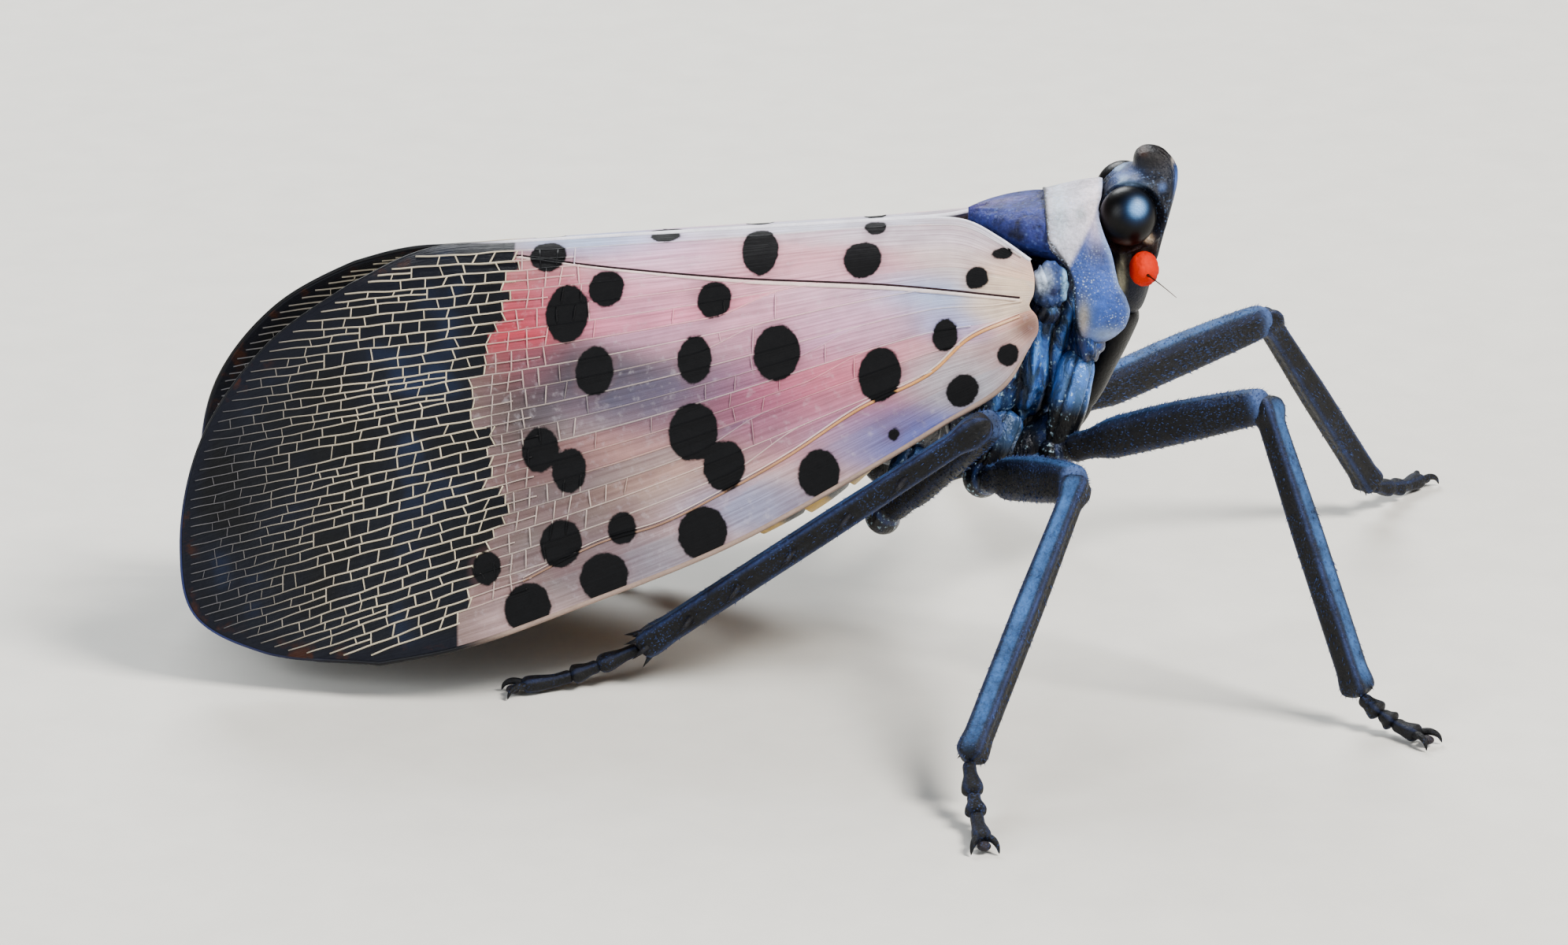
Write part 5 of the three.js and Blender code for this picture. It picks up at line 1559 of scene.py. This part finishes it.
def trunk(name, rows, sides, cuts, folds=(), ridges=()):
    low, high = rows[0][0], rows[-1][0]

    def form(angle, share, radius):
        x = mix(low, high, 0.5 - 0.5 * np.cos(np.pi * share))
        centre, up, down, wide = profile(rows, x)
        c, s = np.cos(angle), np.sin(angle)
        z = centre + s * np.where(s > 0, up, down) * radius
        rise = fold_depth(x, z, ridges) - fold_depth(x, z, folds)
        rise = rise * np.abs(c) ** 0.7 * radius
        out = unit(np.stack([0 * c, c / wide, s / up], axis=1))
        return np.stack([x, c * wide * radius, z], axis=1) + out * rise[:, None]

    piece = bar(name, sides, cuts, form)
    tidy_normals(piece)
    smooth(piece)
    return piece


def pleura_paint(piece):
    """Dark folds and bright blue ridges, painted where the shape has them: painted shade in the folds and painted
    highlights on the ridges.
    """
    spots = measured(piece)
    x, z = spots[:, 0], spots[:, 2]
    body, gleam = colour_of("body"), colour_of("gleam")
    lit = np.clip(fold_depth(x, z, PLEURA_RIDGES) * 9, 0, 1)
    deep = np.clip(fold_depth(x, z, PLEURA_FOLDS) * 9, 0, 1)
    panel = 0.8 * hill(x - 6.8, 0.6) * hill(z - 7.4, 1) + 0.6 * hill(x - 5.9, 0.6) * hill(z - 7.2, 1.2)
    tint = mix(np.tile(body, (len(x), 1)), gleam, np.clip(panel, 0, 0.8)[:, None])
    # Painted highlights on the ridges, then painted shade in the folds.
    tint = mix(tint, shade(150, 190, 226), (lit * 0.75)[:, None])
    tint = mix(tint, shade(10, 11, 16), (deep * 0.9)[:, None])
    store(piece, "tint", tint)


class LANTERNFLY_OT_thorax(bpy.types.Operator):
    """The thorax with its folded sides, shield and wing-root scales"""
    bl_idname = "lanternfly.thorax"
    bl_label = "Thorax"

    def execute(self, context):
        middle = trunk("thorax_middle", MESOTHORAX, 120, 96, PLEURA_FOLDS, PLEURA_RIDGES)
        pleura_paint(middle)

        def shield_form(angle, share, radius):
            x = mix(SCUTELLUM[-1][0], SCUTELLUM[0][0], share)
            wide, crest, edge = profile(SCUTELLUM[::-1], x)
            c, s = np.cos(angle), np.sin(angle)
            keel = 0.05 * hill(c, 0.06) + 0.04 * hill(np.abs(c) - 0.55, 0.08)
            top = mix(edge, crest, np.maximum(s, 0) ** 0.8) + keel * (s > 0)
            z = np.where(s > 0, top, edge + s * 0.7)
            centre = np.stack([x, 0 * x, edge - 0.2], axis=1)
            spots = np.stack([x, c * wide, z], axis=1)
            return mix(centre, spots, radius[:, None])

        shield = bar("scutellum_shape", 64, 40, shield_form)
        tidy_normals(shield)
        smooth(shield)
        paint(shield, shade(60, 70, 132), [((5, 0, 10.9), (0.8, 0.25, 0.3), shade(118, 104, 150), 0.5),
                                           ((6.4, 0, 10.9), (0.25, 1.4, 0.5), shade(34, 42, 78), 0.7),
                                           ((5.5, -1.1, 10.45), (0.8, 0.16, 0.16), shade(22, 24, 44), 0.8)])
        x, y, z = TEGULA_CENTRE

        def scale_form(ways):
            at = np.array(TEGULA_CENTRE) + ways * TEGULA_RADII
            waves = np.sin(ways[:, 2] * 9 + ways[:, 0] * 7) * np.sin(ways[:, 0] * 8 - ways[:, 2] * 3)
            return 1 - fold_depth(at[:, 0], at[:, 2], SCALE_LINES) * 2 + 0.05 * waves

        scale = ball("root_scale_right", TEGULA_CENTRE, TEGULA_RADII, 96, 64, scale_form)
        paint(scale, shade(58, 84, 134), [((x - 0.2, y - 0.3, z + 0.2), (0.22, 0.5, 0.3), shade(196, 210, 228), 0.95),
                                          ((x + 0.36, y - 0.2, z + 0.1), (0.09, 0.5, 0.45), shade(150, 192, 220), 0.9),
                                          ((x + 0.08, y - 0.3, z - 0.04), (0.14, 0.5, 0.16), shade(26, 40, 82), 0.95),
                                          ((x, y, z - 0.62), (0.6, 0.6, 0.26), shade(18, 30, 60), 0.95)])
        low = (x - 0.04, y + 0.1, z - 0.62)
        lump = ball("lump", low, (0.32, 0.3, 0.34), 48, 32,
                    lambda ways: 1 + 0.1 * np.sin(ways[:, 0] * 9 - ways[:, 2] * 5) * ease(0, -0.6, ways[:, 1]))
        # The small pale cyan patch on the dark blue lump is a painted glint.
        paint(lump, shade(40, 56, 90), [((low[0] + 0.1, low[1] - 0.2, low[2] + 0.12), (0.12, 0.2, 0.14),
                                         shade(150, 190, 220), 0.9)])
        arm = limb("arm", [(x + 0.02, -0.7, z - 0.4), (x, y + 0.5, z - 0.2), (x, y + 0.1, z - 0.1)],
                   [(0, 0.4, 0.6), (1, 0.34, 0.52)], 20, 16)
        paint(arm, shade(20, 26, 42), [])
        plate = limb("hip_plate", HIP_PLATE, [(0, 0.3, 0.3), (0.2, 0.5, 0.5), (0.8, 0.5, 0.5), (1, 0.3, 0.3)], 40, 48)
        hem = limb("hem", [np.add(point, (0, -0.46, -0.12)) for point in HIP_PLATE],
                   [(0, 0.05, 0.05), (0.5, 0.08, 0.08), (1, 0.05, 0.05)], 12, 40)
        paint(plate, shade(18, 24, 38), [((6.4, -1.8, 5.8), (0.5, 0.5, 0.4), shade(60, 92, 130), 0.6)])
        paint(hem, shade(150, 178, 200), [])
        belly = limb("belly", [(6.5, 0, 6.1), (5.3, 0, 5.45), (4.1, 0, 5.15)],
                     [(0, 0.7, 0.5), (0.3, 1.3, 0.62), (1, 1.2, 0.62)], 40, 30)
        paint(belly, shade(16, 20, 32), [])
        cheek = ball("cheek", (7.15, -1.3, 7.95), (0.42, 0.55, 0.6), 48, 32,
                     lambda ways: 1 + 0.06 * np.sin(ways[:, 0] * 10 + ways[:, 2] * 4))
        paint(cheek, shade(40, 60, 96), [((7.3, -1.8, 8.0), (0.2, 0.4, 0.3), shade(96, 140, 190), 0.8)])
        sides = (lump, arm, plate, hem, cheek)
        thorax = joined("thorax_front", [middle, belly, *sides, *[mirrored(p, p.name + "_left") for p in sides]])
        material = foil("thorax cuticle")
        finished(thorax, material, "pleura", "mesothorax")
        skin = cuticle("shield cuticle", roughness=0.46, amount=1.3, cloud_count=2.2, grain_count=8, relief=0.07,
                       wax=shade(120, 140, 190), cover=0.5, fleck_count=8, specular=0.25)
        finished(shield, skin, "pleura")
        gloss = cuticle("scale cuticle", roughness=0.35, amount=1.3, cloud_count=3, grain_count=10, relief=0.07,
                        wax=shade(206, 226, 240), cover=0.3, fleck_count=12)
        finished(scale, gloss, "pleura")
        finished(mirrored(scale, "root_scale_left"), gloss, "pleura")

        rear = trunk("thorax_rear", METATHORAX, 96, 60, [([(3, 8.2), (2.9, 6.8), (2.8, 5.4)], 0.08, 0.12)])
        paint(rear, colour_of("body"), [((3.2, -1.6, 6.6), (0.4, 0.4, 0.8), shade(60, 80, 110), 0.6)])
        x, y, z = 2.86, -1.8, 7.4
        knob = limb("knob", [(x, -0.7, z - 0.4), (x, y + 0.5, z - 0.15), (x, y, z)], [(0, 0.38, 0.44), (1, 0.26, 0.32)], 20, 16)
        paint(knob, shade(46, 40, 44), [])
        rear = joined("thorax_rear", [rear, knob, mirrored(knob, "knob_left")])
        finished(rear, material, "pleura", "metathorax")
        return {"FINISHED"}


# Abdomen: rings across a sloping axis, each segment a little wider at its rear edge

ABDOMEN_START = np.array([2, 0, 6.05])
ABDOMEN_END = np.array([-6.8, 0, 1.5])
ABDOMEN_SEGMENTS = 8
ABDOMEN_RADIUS = [(0, 1.2), (0.06, 1.7), (0.25, 2), (0.45, 1.92), (0.66, 1.6), (0.84, 1.12), (0.95, 0.66), (1, 0.3)]


class LANTERNFLY_OT_abdomen(bpy.types.Operator):
    """The abdomen: yellow rings with dark bands"""
    bl_idname = "lanternfly.abdomen"
    bl_label = "Abdomen"

    def execute(self, context):
        along = unit(ABDOMEN_END - ABDOMEN_START)
        up = np.array([along[2], 0, -along[0]])
        band = {}

        def form(angle, share, radius):
            t = 0.5 - 0.5 * np.cos(np.pi * share)
            t = mix(share, t, 0.35)
            size = profile(ABDOMEN_RADIUS, t)[0]
            ring = (t * ABDOMEN_SEGMENTS) % 1
            size = size + mix(-0.1, 0.04, ease(0, 0.12, ring) * (0.4 + 0.6 * ring)) - 0.04 * hill(ring - 0.05, 0.06)
            side_fold = hill(np.abs(np.sin(angle)) - 0.2, 0.07) * 0.06
            size = (size - side_fold) * radius
            band.update(ring=ring, angle=angle, share=t)
            centre = ABDOMEN_START + (ABDOMEN_END - ABDOMEN_START) * t[:, None]
            return (centre + np.outer(np.sin(angle) * size * 0.94, up)
                    + np.outer(np.cos(angle) * size, [0, 1, 0]))

        piece = bar("abdomen_shape", 72, 96, form)
        yellow, black = colour_of("abdomen"), shade(24, 22, 22)
        top = np.sin(band["angle"])
        wide = mix(0.5, 0.3, ease(-0.2, 0.8, top))
        dark = ease(wide + 0.06, wide - 0.04, band["ring"]) * (1 - 0.75 * hill(np.abs(top) - 0.2, 0.12))
        tint = mix(np.tile(yellow, (len(top), 1)), black, dark[:, None])
        tint = mix(tint, shade(150, 70, 40), (0.4 * hill(np.abs(top) - 0.2, 0.1))[:, None])
        tint = mix(tint, black, ease(0.93, 0.98, band["share"])[:, None])
        store(piece, "tint", tint)
        tidy_normals(piece)
        smooth(piece)
        material = cuticle("abdomen skin", roughness=0.42, amount=0.45, cloud_count=2.5, coat=0.15, relief=0.03,
                           wax=shade(220, 216, 200), cover=0.3)
        finished(piece, material, "abdomen_skin", "abdomen")
        return {"FINISHED"}


# Legs: hip, knee, heel and tip, with half thicknesses; the hind ones carry spines

# The last two numbers of each leg set the painted highlight along the upper face of the femur and of the tibia.
LEGS = {
    "fore": dict(coxa=(6.95, -1.5, 7.3), hip=(6.42, -1.76, 5.26), knee=(11.15, -4.2, 7.3), heel=(13.4, -6.04, 0.75),
                 tip=(14.7, -7.1, 0.24), hip_radius=0.46, femur=0.53, tibia=0.33, tarsus=0.28, offset=0.0,
                 upper_highlights=(0.4, 0.8)),
    "mid": dict(coxa=(5.3, -1.5, 5.8), hip=(4.7, -1.8, 4.62), knee=(6.75, -5.6, 5.85), heel=(4.15, -10.92, 1.15),
                tip=(4.41, -13.2, 0.24), hip_radius=0.48, femur=0.56, tibia=0.32, tarsus=0.27, offset=0.0,
                upper_highlights=(0.8, 1.0)),
    "hind": dict(coxa=(3.15, -1.05, 4.75), hip=(2.35, -1.72, 3.62), knee=(4.82, -4.35, 6.92), heel=(-3.42, -3.29, 0.88),
                 tip=(-6.2, -4.05, 0.24), hip_radius=0.44, femur=0.48, tibia=0.33, tarsus=0.27, offset=0.5,
                 upper_highlights=(0.4, 0.5)),
}
LEFT_FORE = dict(hip=(6.42, -1.76, 4.98), knee=(11.89, -5.6, 6.1), heel=(14.91, -8.15, 0.75), tip=(16.35, -10.15, 0.24),
                 upper_highlights=(0.95, 0.8))
HIND_SPINES = [0.22, 0.38, 0.54, 0.7, 0.84]


def ridged(size, count=4, turn=math.pi / 4):
    """A cross-section with long keels, as a share of the radius."""
    return lambda angle, share: 1 + size * np.cos(count * (angle - turn))


def leg_paint(piece, keels, light=None, stripe=0.0):
    """Blue-black skin with painted highlights: paler keels, a pale blue stripe along the upper face, and a light ring
    at a joint.
    """
    angle, share = stored(piece, "angle"), stored(piece, "share")
    crest = np.clip(np.cos(4 * (angle - math.pi / 4)), 0, 1) ** 6 * keels
    tint = mix(np.tile(shade(12, 13, 19), (len(angle), 1)), shade(66, 84, 128), (0.7 * crest)[:, None])
    upper = ease(0.62, 0.3, np.abs(angle - math.pi / 2)) * stripe * ease(0.0, 0.06, share) * ease(1, 0.9, share)
    tint = mix(tint, shade(72, 110, 156), upper[:, None])
    if light:
        tint = mix(tint, shade(104, 130, 180), (0.5 * hill(share - light, 0.03))[:, None])
    store(piece, "tint", tint)


def hairs(name, piece, count, length, seed):
    """Short hairs leaning along a limb, rooted on its faces."""
    random = np.random.default_rng(seed)
    mesh = piece.data
    centres = np.empty(len(mesh.polygons) * 3)
    normals = np.empty(len(mesh.polygons) * 3)
    areas = np.empty(len(mesh.polygons))
    mesh.polygons.foreach_get("center", centres)
    mesh.polygons.foreach_get("normal", normals)
    mesh.polygons.foreach_get("area", areas)
    centres = (centres.reshape(-1, 3) - np.array([SHIFT, 0, 0])) / MM
    normals = normals.reshape(-1, 3)
    chosen = random.choice(len(areas), count, p=areas / areas.sum())
    corners = measured(piece)[[mesh.polygons[face].vertices[face % 3] for face in chosen]]
    roots = mix(centres[chosen], corners, random.uniform(0, 1, (count, 1)))
    share = stored(piece, "share")
    spots = measured(piece)
    axis = unit(spots[share > 0.9].mean(axis=0) - spots[share < 0.1].mean(axis=0))
    ways = normals[chosen] * 0.75 + axis + random.normal(size=(count, 3)) * 0.15
    return spikes(name, roots - normals[chosen] * 0.01, ways, length * random.uniform(0.6, 1.3, count), 0.011, 3)


class LANTERNFLY_OT_legs(bpy.types.Operator):
    """Six legs: hip, thigh, keeled shin, three-part foot, spines and short hair"""
    bl_idname = "lanternfly.legs"
    bl_label = "Legs"
    foil = None

    def execute(self, context):
        material = cuticle("leg cuticle", roughness=0.5, amount=1.1, cloud_count=1.4, grain_count=9, relief=0.06,
                           wax=shade(92, 120, 176), cover=0.3, fleck_count=16, specular=0.22)
        self.foil = foil("coxa cuticle", 0.6)
        length = context.scene.lanternfly_sizes.hair / MM
        for pair, leg in LEGS.items():
            parts = self.leg(pair, leg, "right", length)
            for part, piece in parts.items():
                name = f"{pair}_{part}_left"
                if pair != "fore":
                    parts_left = mirrored(piece, name)
                    self.finish(parts_left, part, pair, "left", material)
                self.finish(piece, part, pair, "right", material)
        stance = dict(LEGS["fore"], **LEFT_FORE)
        for part, piece in self.leg("fore", stance, "shape", length).items():
            self.finish(mirrored(piece, f"fore_{part}_left"), part, "fore", "left", material)
            bpy.data.objects.remove(piece)
        return {"FINISHED"}

    def finish(self, piece, part, pair, side, material):
        nodes = [] if part == "hair" else [f"{part}_{pair}_{side}"]
        finished(piece, self.foil if part == "coxa" else material, "leg_cuticle", *nodes)

    def leg(self, pair, leg, word, length):
        hip, knee, heel, tip = (np.array(leg[key], float) for key in ("hip", "knee", "heel", "tip"))
        top = np.array(leg["coxa"], float)
        thigh = unit(knee - hip)
        r = leg["hip_radius"]

        def creases(angle, share):
            return hill(np.sin(2.5 * angle + 2 * share), 0.25)

        bar_piece = limb("coxa_bar", [top + [0, 0.25, 0.35], mix(top, hip, 0.5), hip],
                         [(0, 0.3, 0.34), (0.2, 0.42, 0.46), (0.5, 0.44, 0.46), (0.75, 0.38, 0.4), (1, 0.34, 0.34)],
                         72, 50, (1, 0, 0), lambda angle, share: 1 - 0.2 * creases(angle, share))
        angle, share = stored(bar_piece, "angle"), stored(bar_piece, "share")
        bright = 0.9 if pair == "fore" else 0.35
        tint = mix(np.tile(shade(12, 14, 20), (len(angle), 1)), colour_of("gleam"), bright * ease(0.62, 0.38, share)[:, None])
        # Painted shade along the creases that the relief cuts.
        store(bar_piece, "tint", mix(tint, shade(10, 12, 20), 0.8 * creases(angle, share)[:, None]))
        knob = limb("hip_knob", [hip - thigh * r * 0.9, hip, hip + thigh * (r + 0.25)],
                    [(0, r * 0.7, r * 0.7), (0.35, r, r), (0.7, r * 0.7, r * 0.7), (0.85, r * 0.62, r * 0.62),
                     (1, r * 0.56, r * 0.56)], 28, 24)
        leg_paint(knob, 0.2, 0.62)
        coxa = joined(f"{pair}_coxa_{word}", [bar_piece, knob])

        f = leg["femur"]
        start = hip + thigh * (r * 0.7)
        end = knee + thigh * 0.12
        femur = limb(f"{pair}_femur_{word}", [start, mix(start, end, 0.5) + np.array([0, 0, 0.05]), end],
                     [(0, 0.26, 0.28), (0.05, 0.34, 0.36), (0.1, 0.33, 0.36), (0.25, f * 0.8, f * 0.95), (0.5, f * 0.82, f * 0.98),
                      (0.8, f * 0.76, f * 0.9), (0.93, f * 0.7, f * 0.82), (1, f * 0.58, f * 0.62)], 36, 70,
                     relief=ridged(0.045))
        leg_paint(femur, 0.3, 0.97, leg["upper_highlights"][0])

        down = heel - knee
        outward = unit(down - thigh * (down @ thigh))
        shin_start = knee + outward * leg["offset"] * 0.6
        shin = unit(heel - shin_start)
        t = leg["tibia"]
        tibia = limb(f"{pair}_tibia_{word}",
                     [shin_start - shin * 0.2, shin_start + shin * 0.5, mix(shin_start, heel, 0.5), heel],
                     [(0, t * 0.9, t * 0.95), (0.05, t * 1.12, t * 1.15), (0.1, t * 0.86, t * 0.88), (0.2, t * 0.9, t * 0.9),
                      (0.5, t, t), (0.9, t * 1.0, t * 1.0), (0.96, t * 1.12, t * 1.12), (1, t * 0.95, t * 0.95)],
                     48, 90, relief=ridged(0.13))
        leg_paint(tibia, 0.8, None, leg["upper_highlights"][1])
        outer = unit(np.array([0, -1.0, 0]) + shin * shin[1])
        roots, ways, sizes = [], [], []
        if pair == "hind":
            for share in HIND_SPINES:
                roots.append(mix(shin_start, heel, share) + outer * t * 0.6)
                ways.append(outer * 0.8 + shin * 0.6)
                sizes.append(0.72)
        crown = 7 if pair == "hind" else 5
        binormal = np.cross(shin, outer)
        for i in range(crown):
            turn = 2 * math.pi * i / crown
            way = outer * math.cos(turn) + binormal * math.sin(turn)
            roots.append(heel - shin * 0.3 + way * t * 0.75)
            ways.append(shin + way * 0.5)
            sizes.append(0.5 if pair == "hind" else 0.26)
        thorns = spikes("thorns", np.array(roots), np.array(ways), np.array(sizes), 0.1 if pair == "hind" else 0.06, 9)
        paint(thorns, shade(30, 30, 38), [])
        hair = hairs(f"{pair}_hair_{word}", tibia, 500, length, 11)
        more = hairs("more_hair", femur, 1500, length, 12)
        for piece in (hair, more):
            paint(piece, shade(84, 104, 150), [])
        hair = joined(f"{pair}_hair_{word}", [hair, more])
        tibia = joined(f"{pair}_tibia_{word}", [tibia, thorns])

        tarsus = self.foot(pair, leg, word, heel, tip)
        return {"coxa": coxa, "femur": femur, "tibia": tibia, "tarsus": tarsus, "hair": hair}

    def foot(self, pair, leg, word, heel, tip):
        """Three foot joints, each flared at its end, then two claws and a pad."""
        r = leg["tarsus"]
        reach = tip - heel
        flat = unit(np.array([reach[0], reach[1], 0]))
        line = Path([heel, mix(heel, tip, 0.36) * [1, 1, 0] + [0, 0, tip[2] + 0.45 * (heel[2] - tip[2])],
                     mix(heel, tip, 0.7) * [1, 1, 0] + [0, 0, tip[2] + 0.04], tip])
        parts = []
        for k, (a, b) in enumerate([(0, 0.37), (0.34, 0.6), (0.57, 1)]):
            way = line.at(np.linspace(a, b, 4))
            end = 0.98 if k < 2 else 0.86
            joint = limb(f"joint_{k}", way, [(0, r * 0.62, r * 0.6), (0.3, r * 0.6, r * 0.58), (0.8, r * end, r * end * 0.85),
                                             (1, r * 0.8, r * 0.6)], 28, 28, sole=0.0, relief=ridged(0.05))
            leg_paint(joint, 0.5)
            parts.append(joint)
        for turn in (-1, 1):
            across = np.cross(flat, [0, 0, turn])
            root = tip - flat * 0.1 + across * 0.1
            claw = limb("claw", [root, root + flat * 0.25 + across * 0.1 + [0, 0, 0.05],
                                 root + flat * 0.42 + across * 0.18 - [0, 0, 0.03],
                                 (root + flat * 0.5 + across * 0.22) * [1, 1, 0] + [0, 0, 0.04]],
                        [(0, 0.1, 0.1), (0.5, 0.08, 0.08), (1, 0.015, 0.015)], 12, 20, sole=0.0)
            leg_paint(claw, 0)
            parts.append(claw)
        pad = ball("pad", tip + flat * 0.2 + np.array([0, 0, -0.08]), (0.16, 0.16, 0.1), 24, 16)
        paint(pad, shade(50, 44, 50), [])
        parts.append(pad)
        return joined(f"{pair}_tarsus_{word}", parts)


# Stage: camera, floor and lights

CAMERA_AIM = (0, 0, 4.1)
CAMERA_DISTANCE = 150
PHOTO_WIDTH = 1991
PIXELS_A_MILLIMETRE = 53
SENSOR = 36


class LANTERNFLY_OT_stage(bpy.types.Operator):
    """A pale floor, soft lights and the camera"""
    bl_idname = "lanternfly.stage"
    bl_label = "Stage"

    def execute(self, context):
        deselect()
        bpy.ops.mesh.primitive_plane_add(size=2)
        floor = active("floor")
        material, tree, shader = new_material("pale floor")
        where = node(tree, "TexCoord").outputs["Object"]
        grain = cloud(tree, where, 0.6, 5)
        base = colour_of("floor")
        colour = ramp(tree, grain, [(0.3, base * 0.96), (0.7, base * 1.03)])
        tree.links.new(colour, shader.inputs["Base Color"])
        shader.inputs["Roughness"].default_value = 0.75
        floor.data.materials.append(material)

        camera = bpy.data.cameras.new("camera")
        camera.sensor_width = SENSOR
        camera.lens = SENSOR * PIXELS_A_MILLIMETRE * CAMERA_DISTANCE / PHOTO_WIDTH
        camera.clip_start = 1 * MM
        holder = bpy.data.objects.new("camera", camera)
        context.collection.objects.link(holder)
        back = Vector((0, -math.cos(SIDE_VIEW), math.sin(SIDE_VIEW)))
        holder.location = Vector(placed(CAMERA_AIM)) + back * CAMERA_DISTANCE * MM
        holder.rotation_euler = (math.pi / 2 - SIDE_VIEW, 0, 0)
        context.scene.camera = holder

        world = bpy.data.worlds.new("studio")
        world.use_nodes = True
        sky = world.node_tree.nodes["Background"]
        sky.inputs["Color"].default_value = (0.86, 0.9, 1.0, 1)
        sky.inputs["Strength"].default_value = 0.16
        context.scene.world = world
        for name, place, size, power, tint in (
                ("key", (140, -70, 190), 80, 1.35, (1, 0.97, 0.93)),
                ("fill", (-130, -120, 80), 100, 0.3, (0.9, 0.95, 1)),
                ("back", (-40, 160, 140), 100, 0.6, (0.95, 0.98, 1))):
            light = bpy.data.lights.new(name, "AREA")
            light.size = size * MM
            light.energy = power
            light.color = tint
            lamp = bpy.data.objects.new(name, light)
            lamp.location = Vector(place) * MM
            lamp.rotation_euler = (Vector((0, 0, 5 * MM)) - lamp.location).to_track_quat("-Z", "Y").to_euler()
            context.collection.objects.link(lamp)
        return {"FINISHED"}


class LANTERNFLY_PT_panel(bpy.types.Panel):
    """Lists the model's pieces, sizes and colours"""
    bl_idname = "LANTERNFLY_PT_panel"
    bl_label = "Spotted lanternfly"
    bl_space_type = "VIEW_3D"
    bl_region_type = "UI"
    bl_category = "Lanternfly"

    def draw(self, context):
        for operator in OPERATORS:
            self.layout.operator(operator.bl_idname)
        for group in (context.scene.lanternfly_sizes, context.scene.lanternfly_colours):
            box = self.layout.box()
            for name in group.__annotations__:
                box.prop(group, name)


OPERATORS = (
    LANTERNFLY_OT_stage, LANTERNFLY_OT_forewings, LANTERNFLY_OT_hindwings, LANTERNFLY_OT_head, LANTERNFLY_OT_eyes,
    LANTERNFLY_OT_feelers, LANTERNFLY_OT_beak, LANTERNFLY_OT_pronotum, LANTERNFLY_OT_thorax, LANTERNFLY_OT_abdomen,
    LANTERNFLY_OT_legs,
)
CLASSES = (LanternflyColours, LanternflySizes, *OPERATORS, LANTERNFLY_PT_panel)


def register():
    for cls in CLASSES:
        bpy.utils.register_class(cls)
    bpy.types.Scene.lanternfly_colours = PointerProperty(type=LanternflyColours)
    bpy.types.Scene.lanternfly_sizes = PointerProperty(type=LanternflySizes)


def unregister():
    del bpy.types.Scene.lanternfly_sizes
    del bpy.types.Scene.lanternfly_colours
    for cls in reversed(CLASSES):
        bpy.utils.unregister_class(cls)


def main():
    register()
    build_mottle()
    build_bloom()
    for operator in OPERATORS:
        family, name = operator.bl_idname.split(".")
        getattr(getattr(bpy.ops, family), name)()


if __name__ == "__main__":
    main()
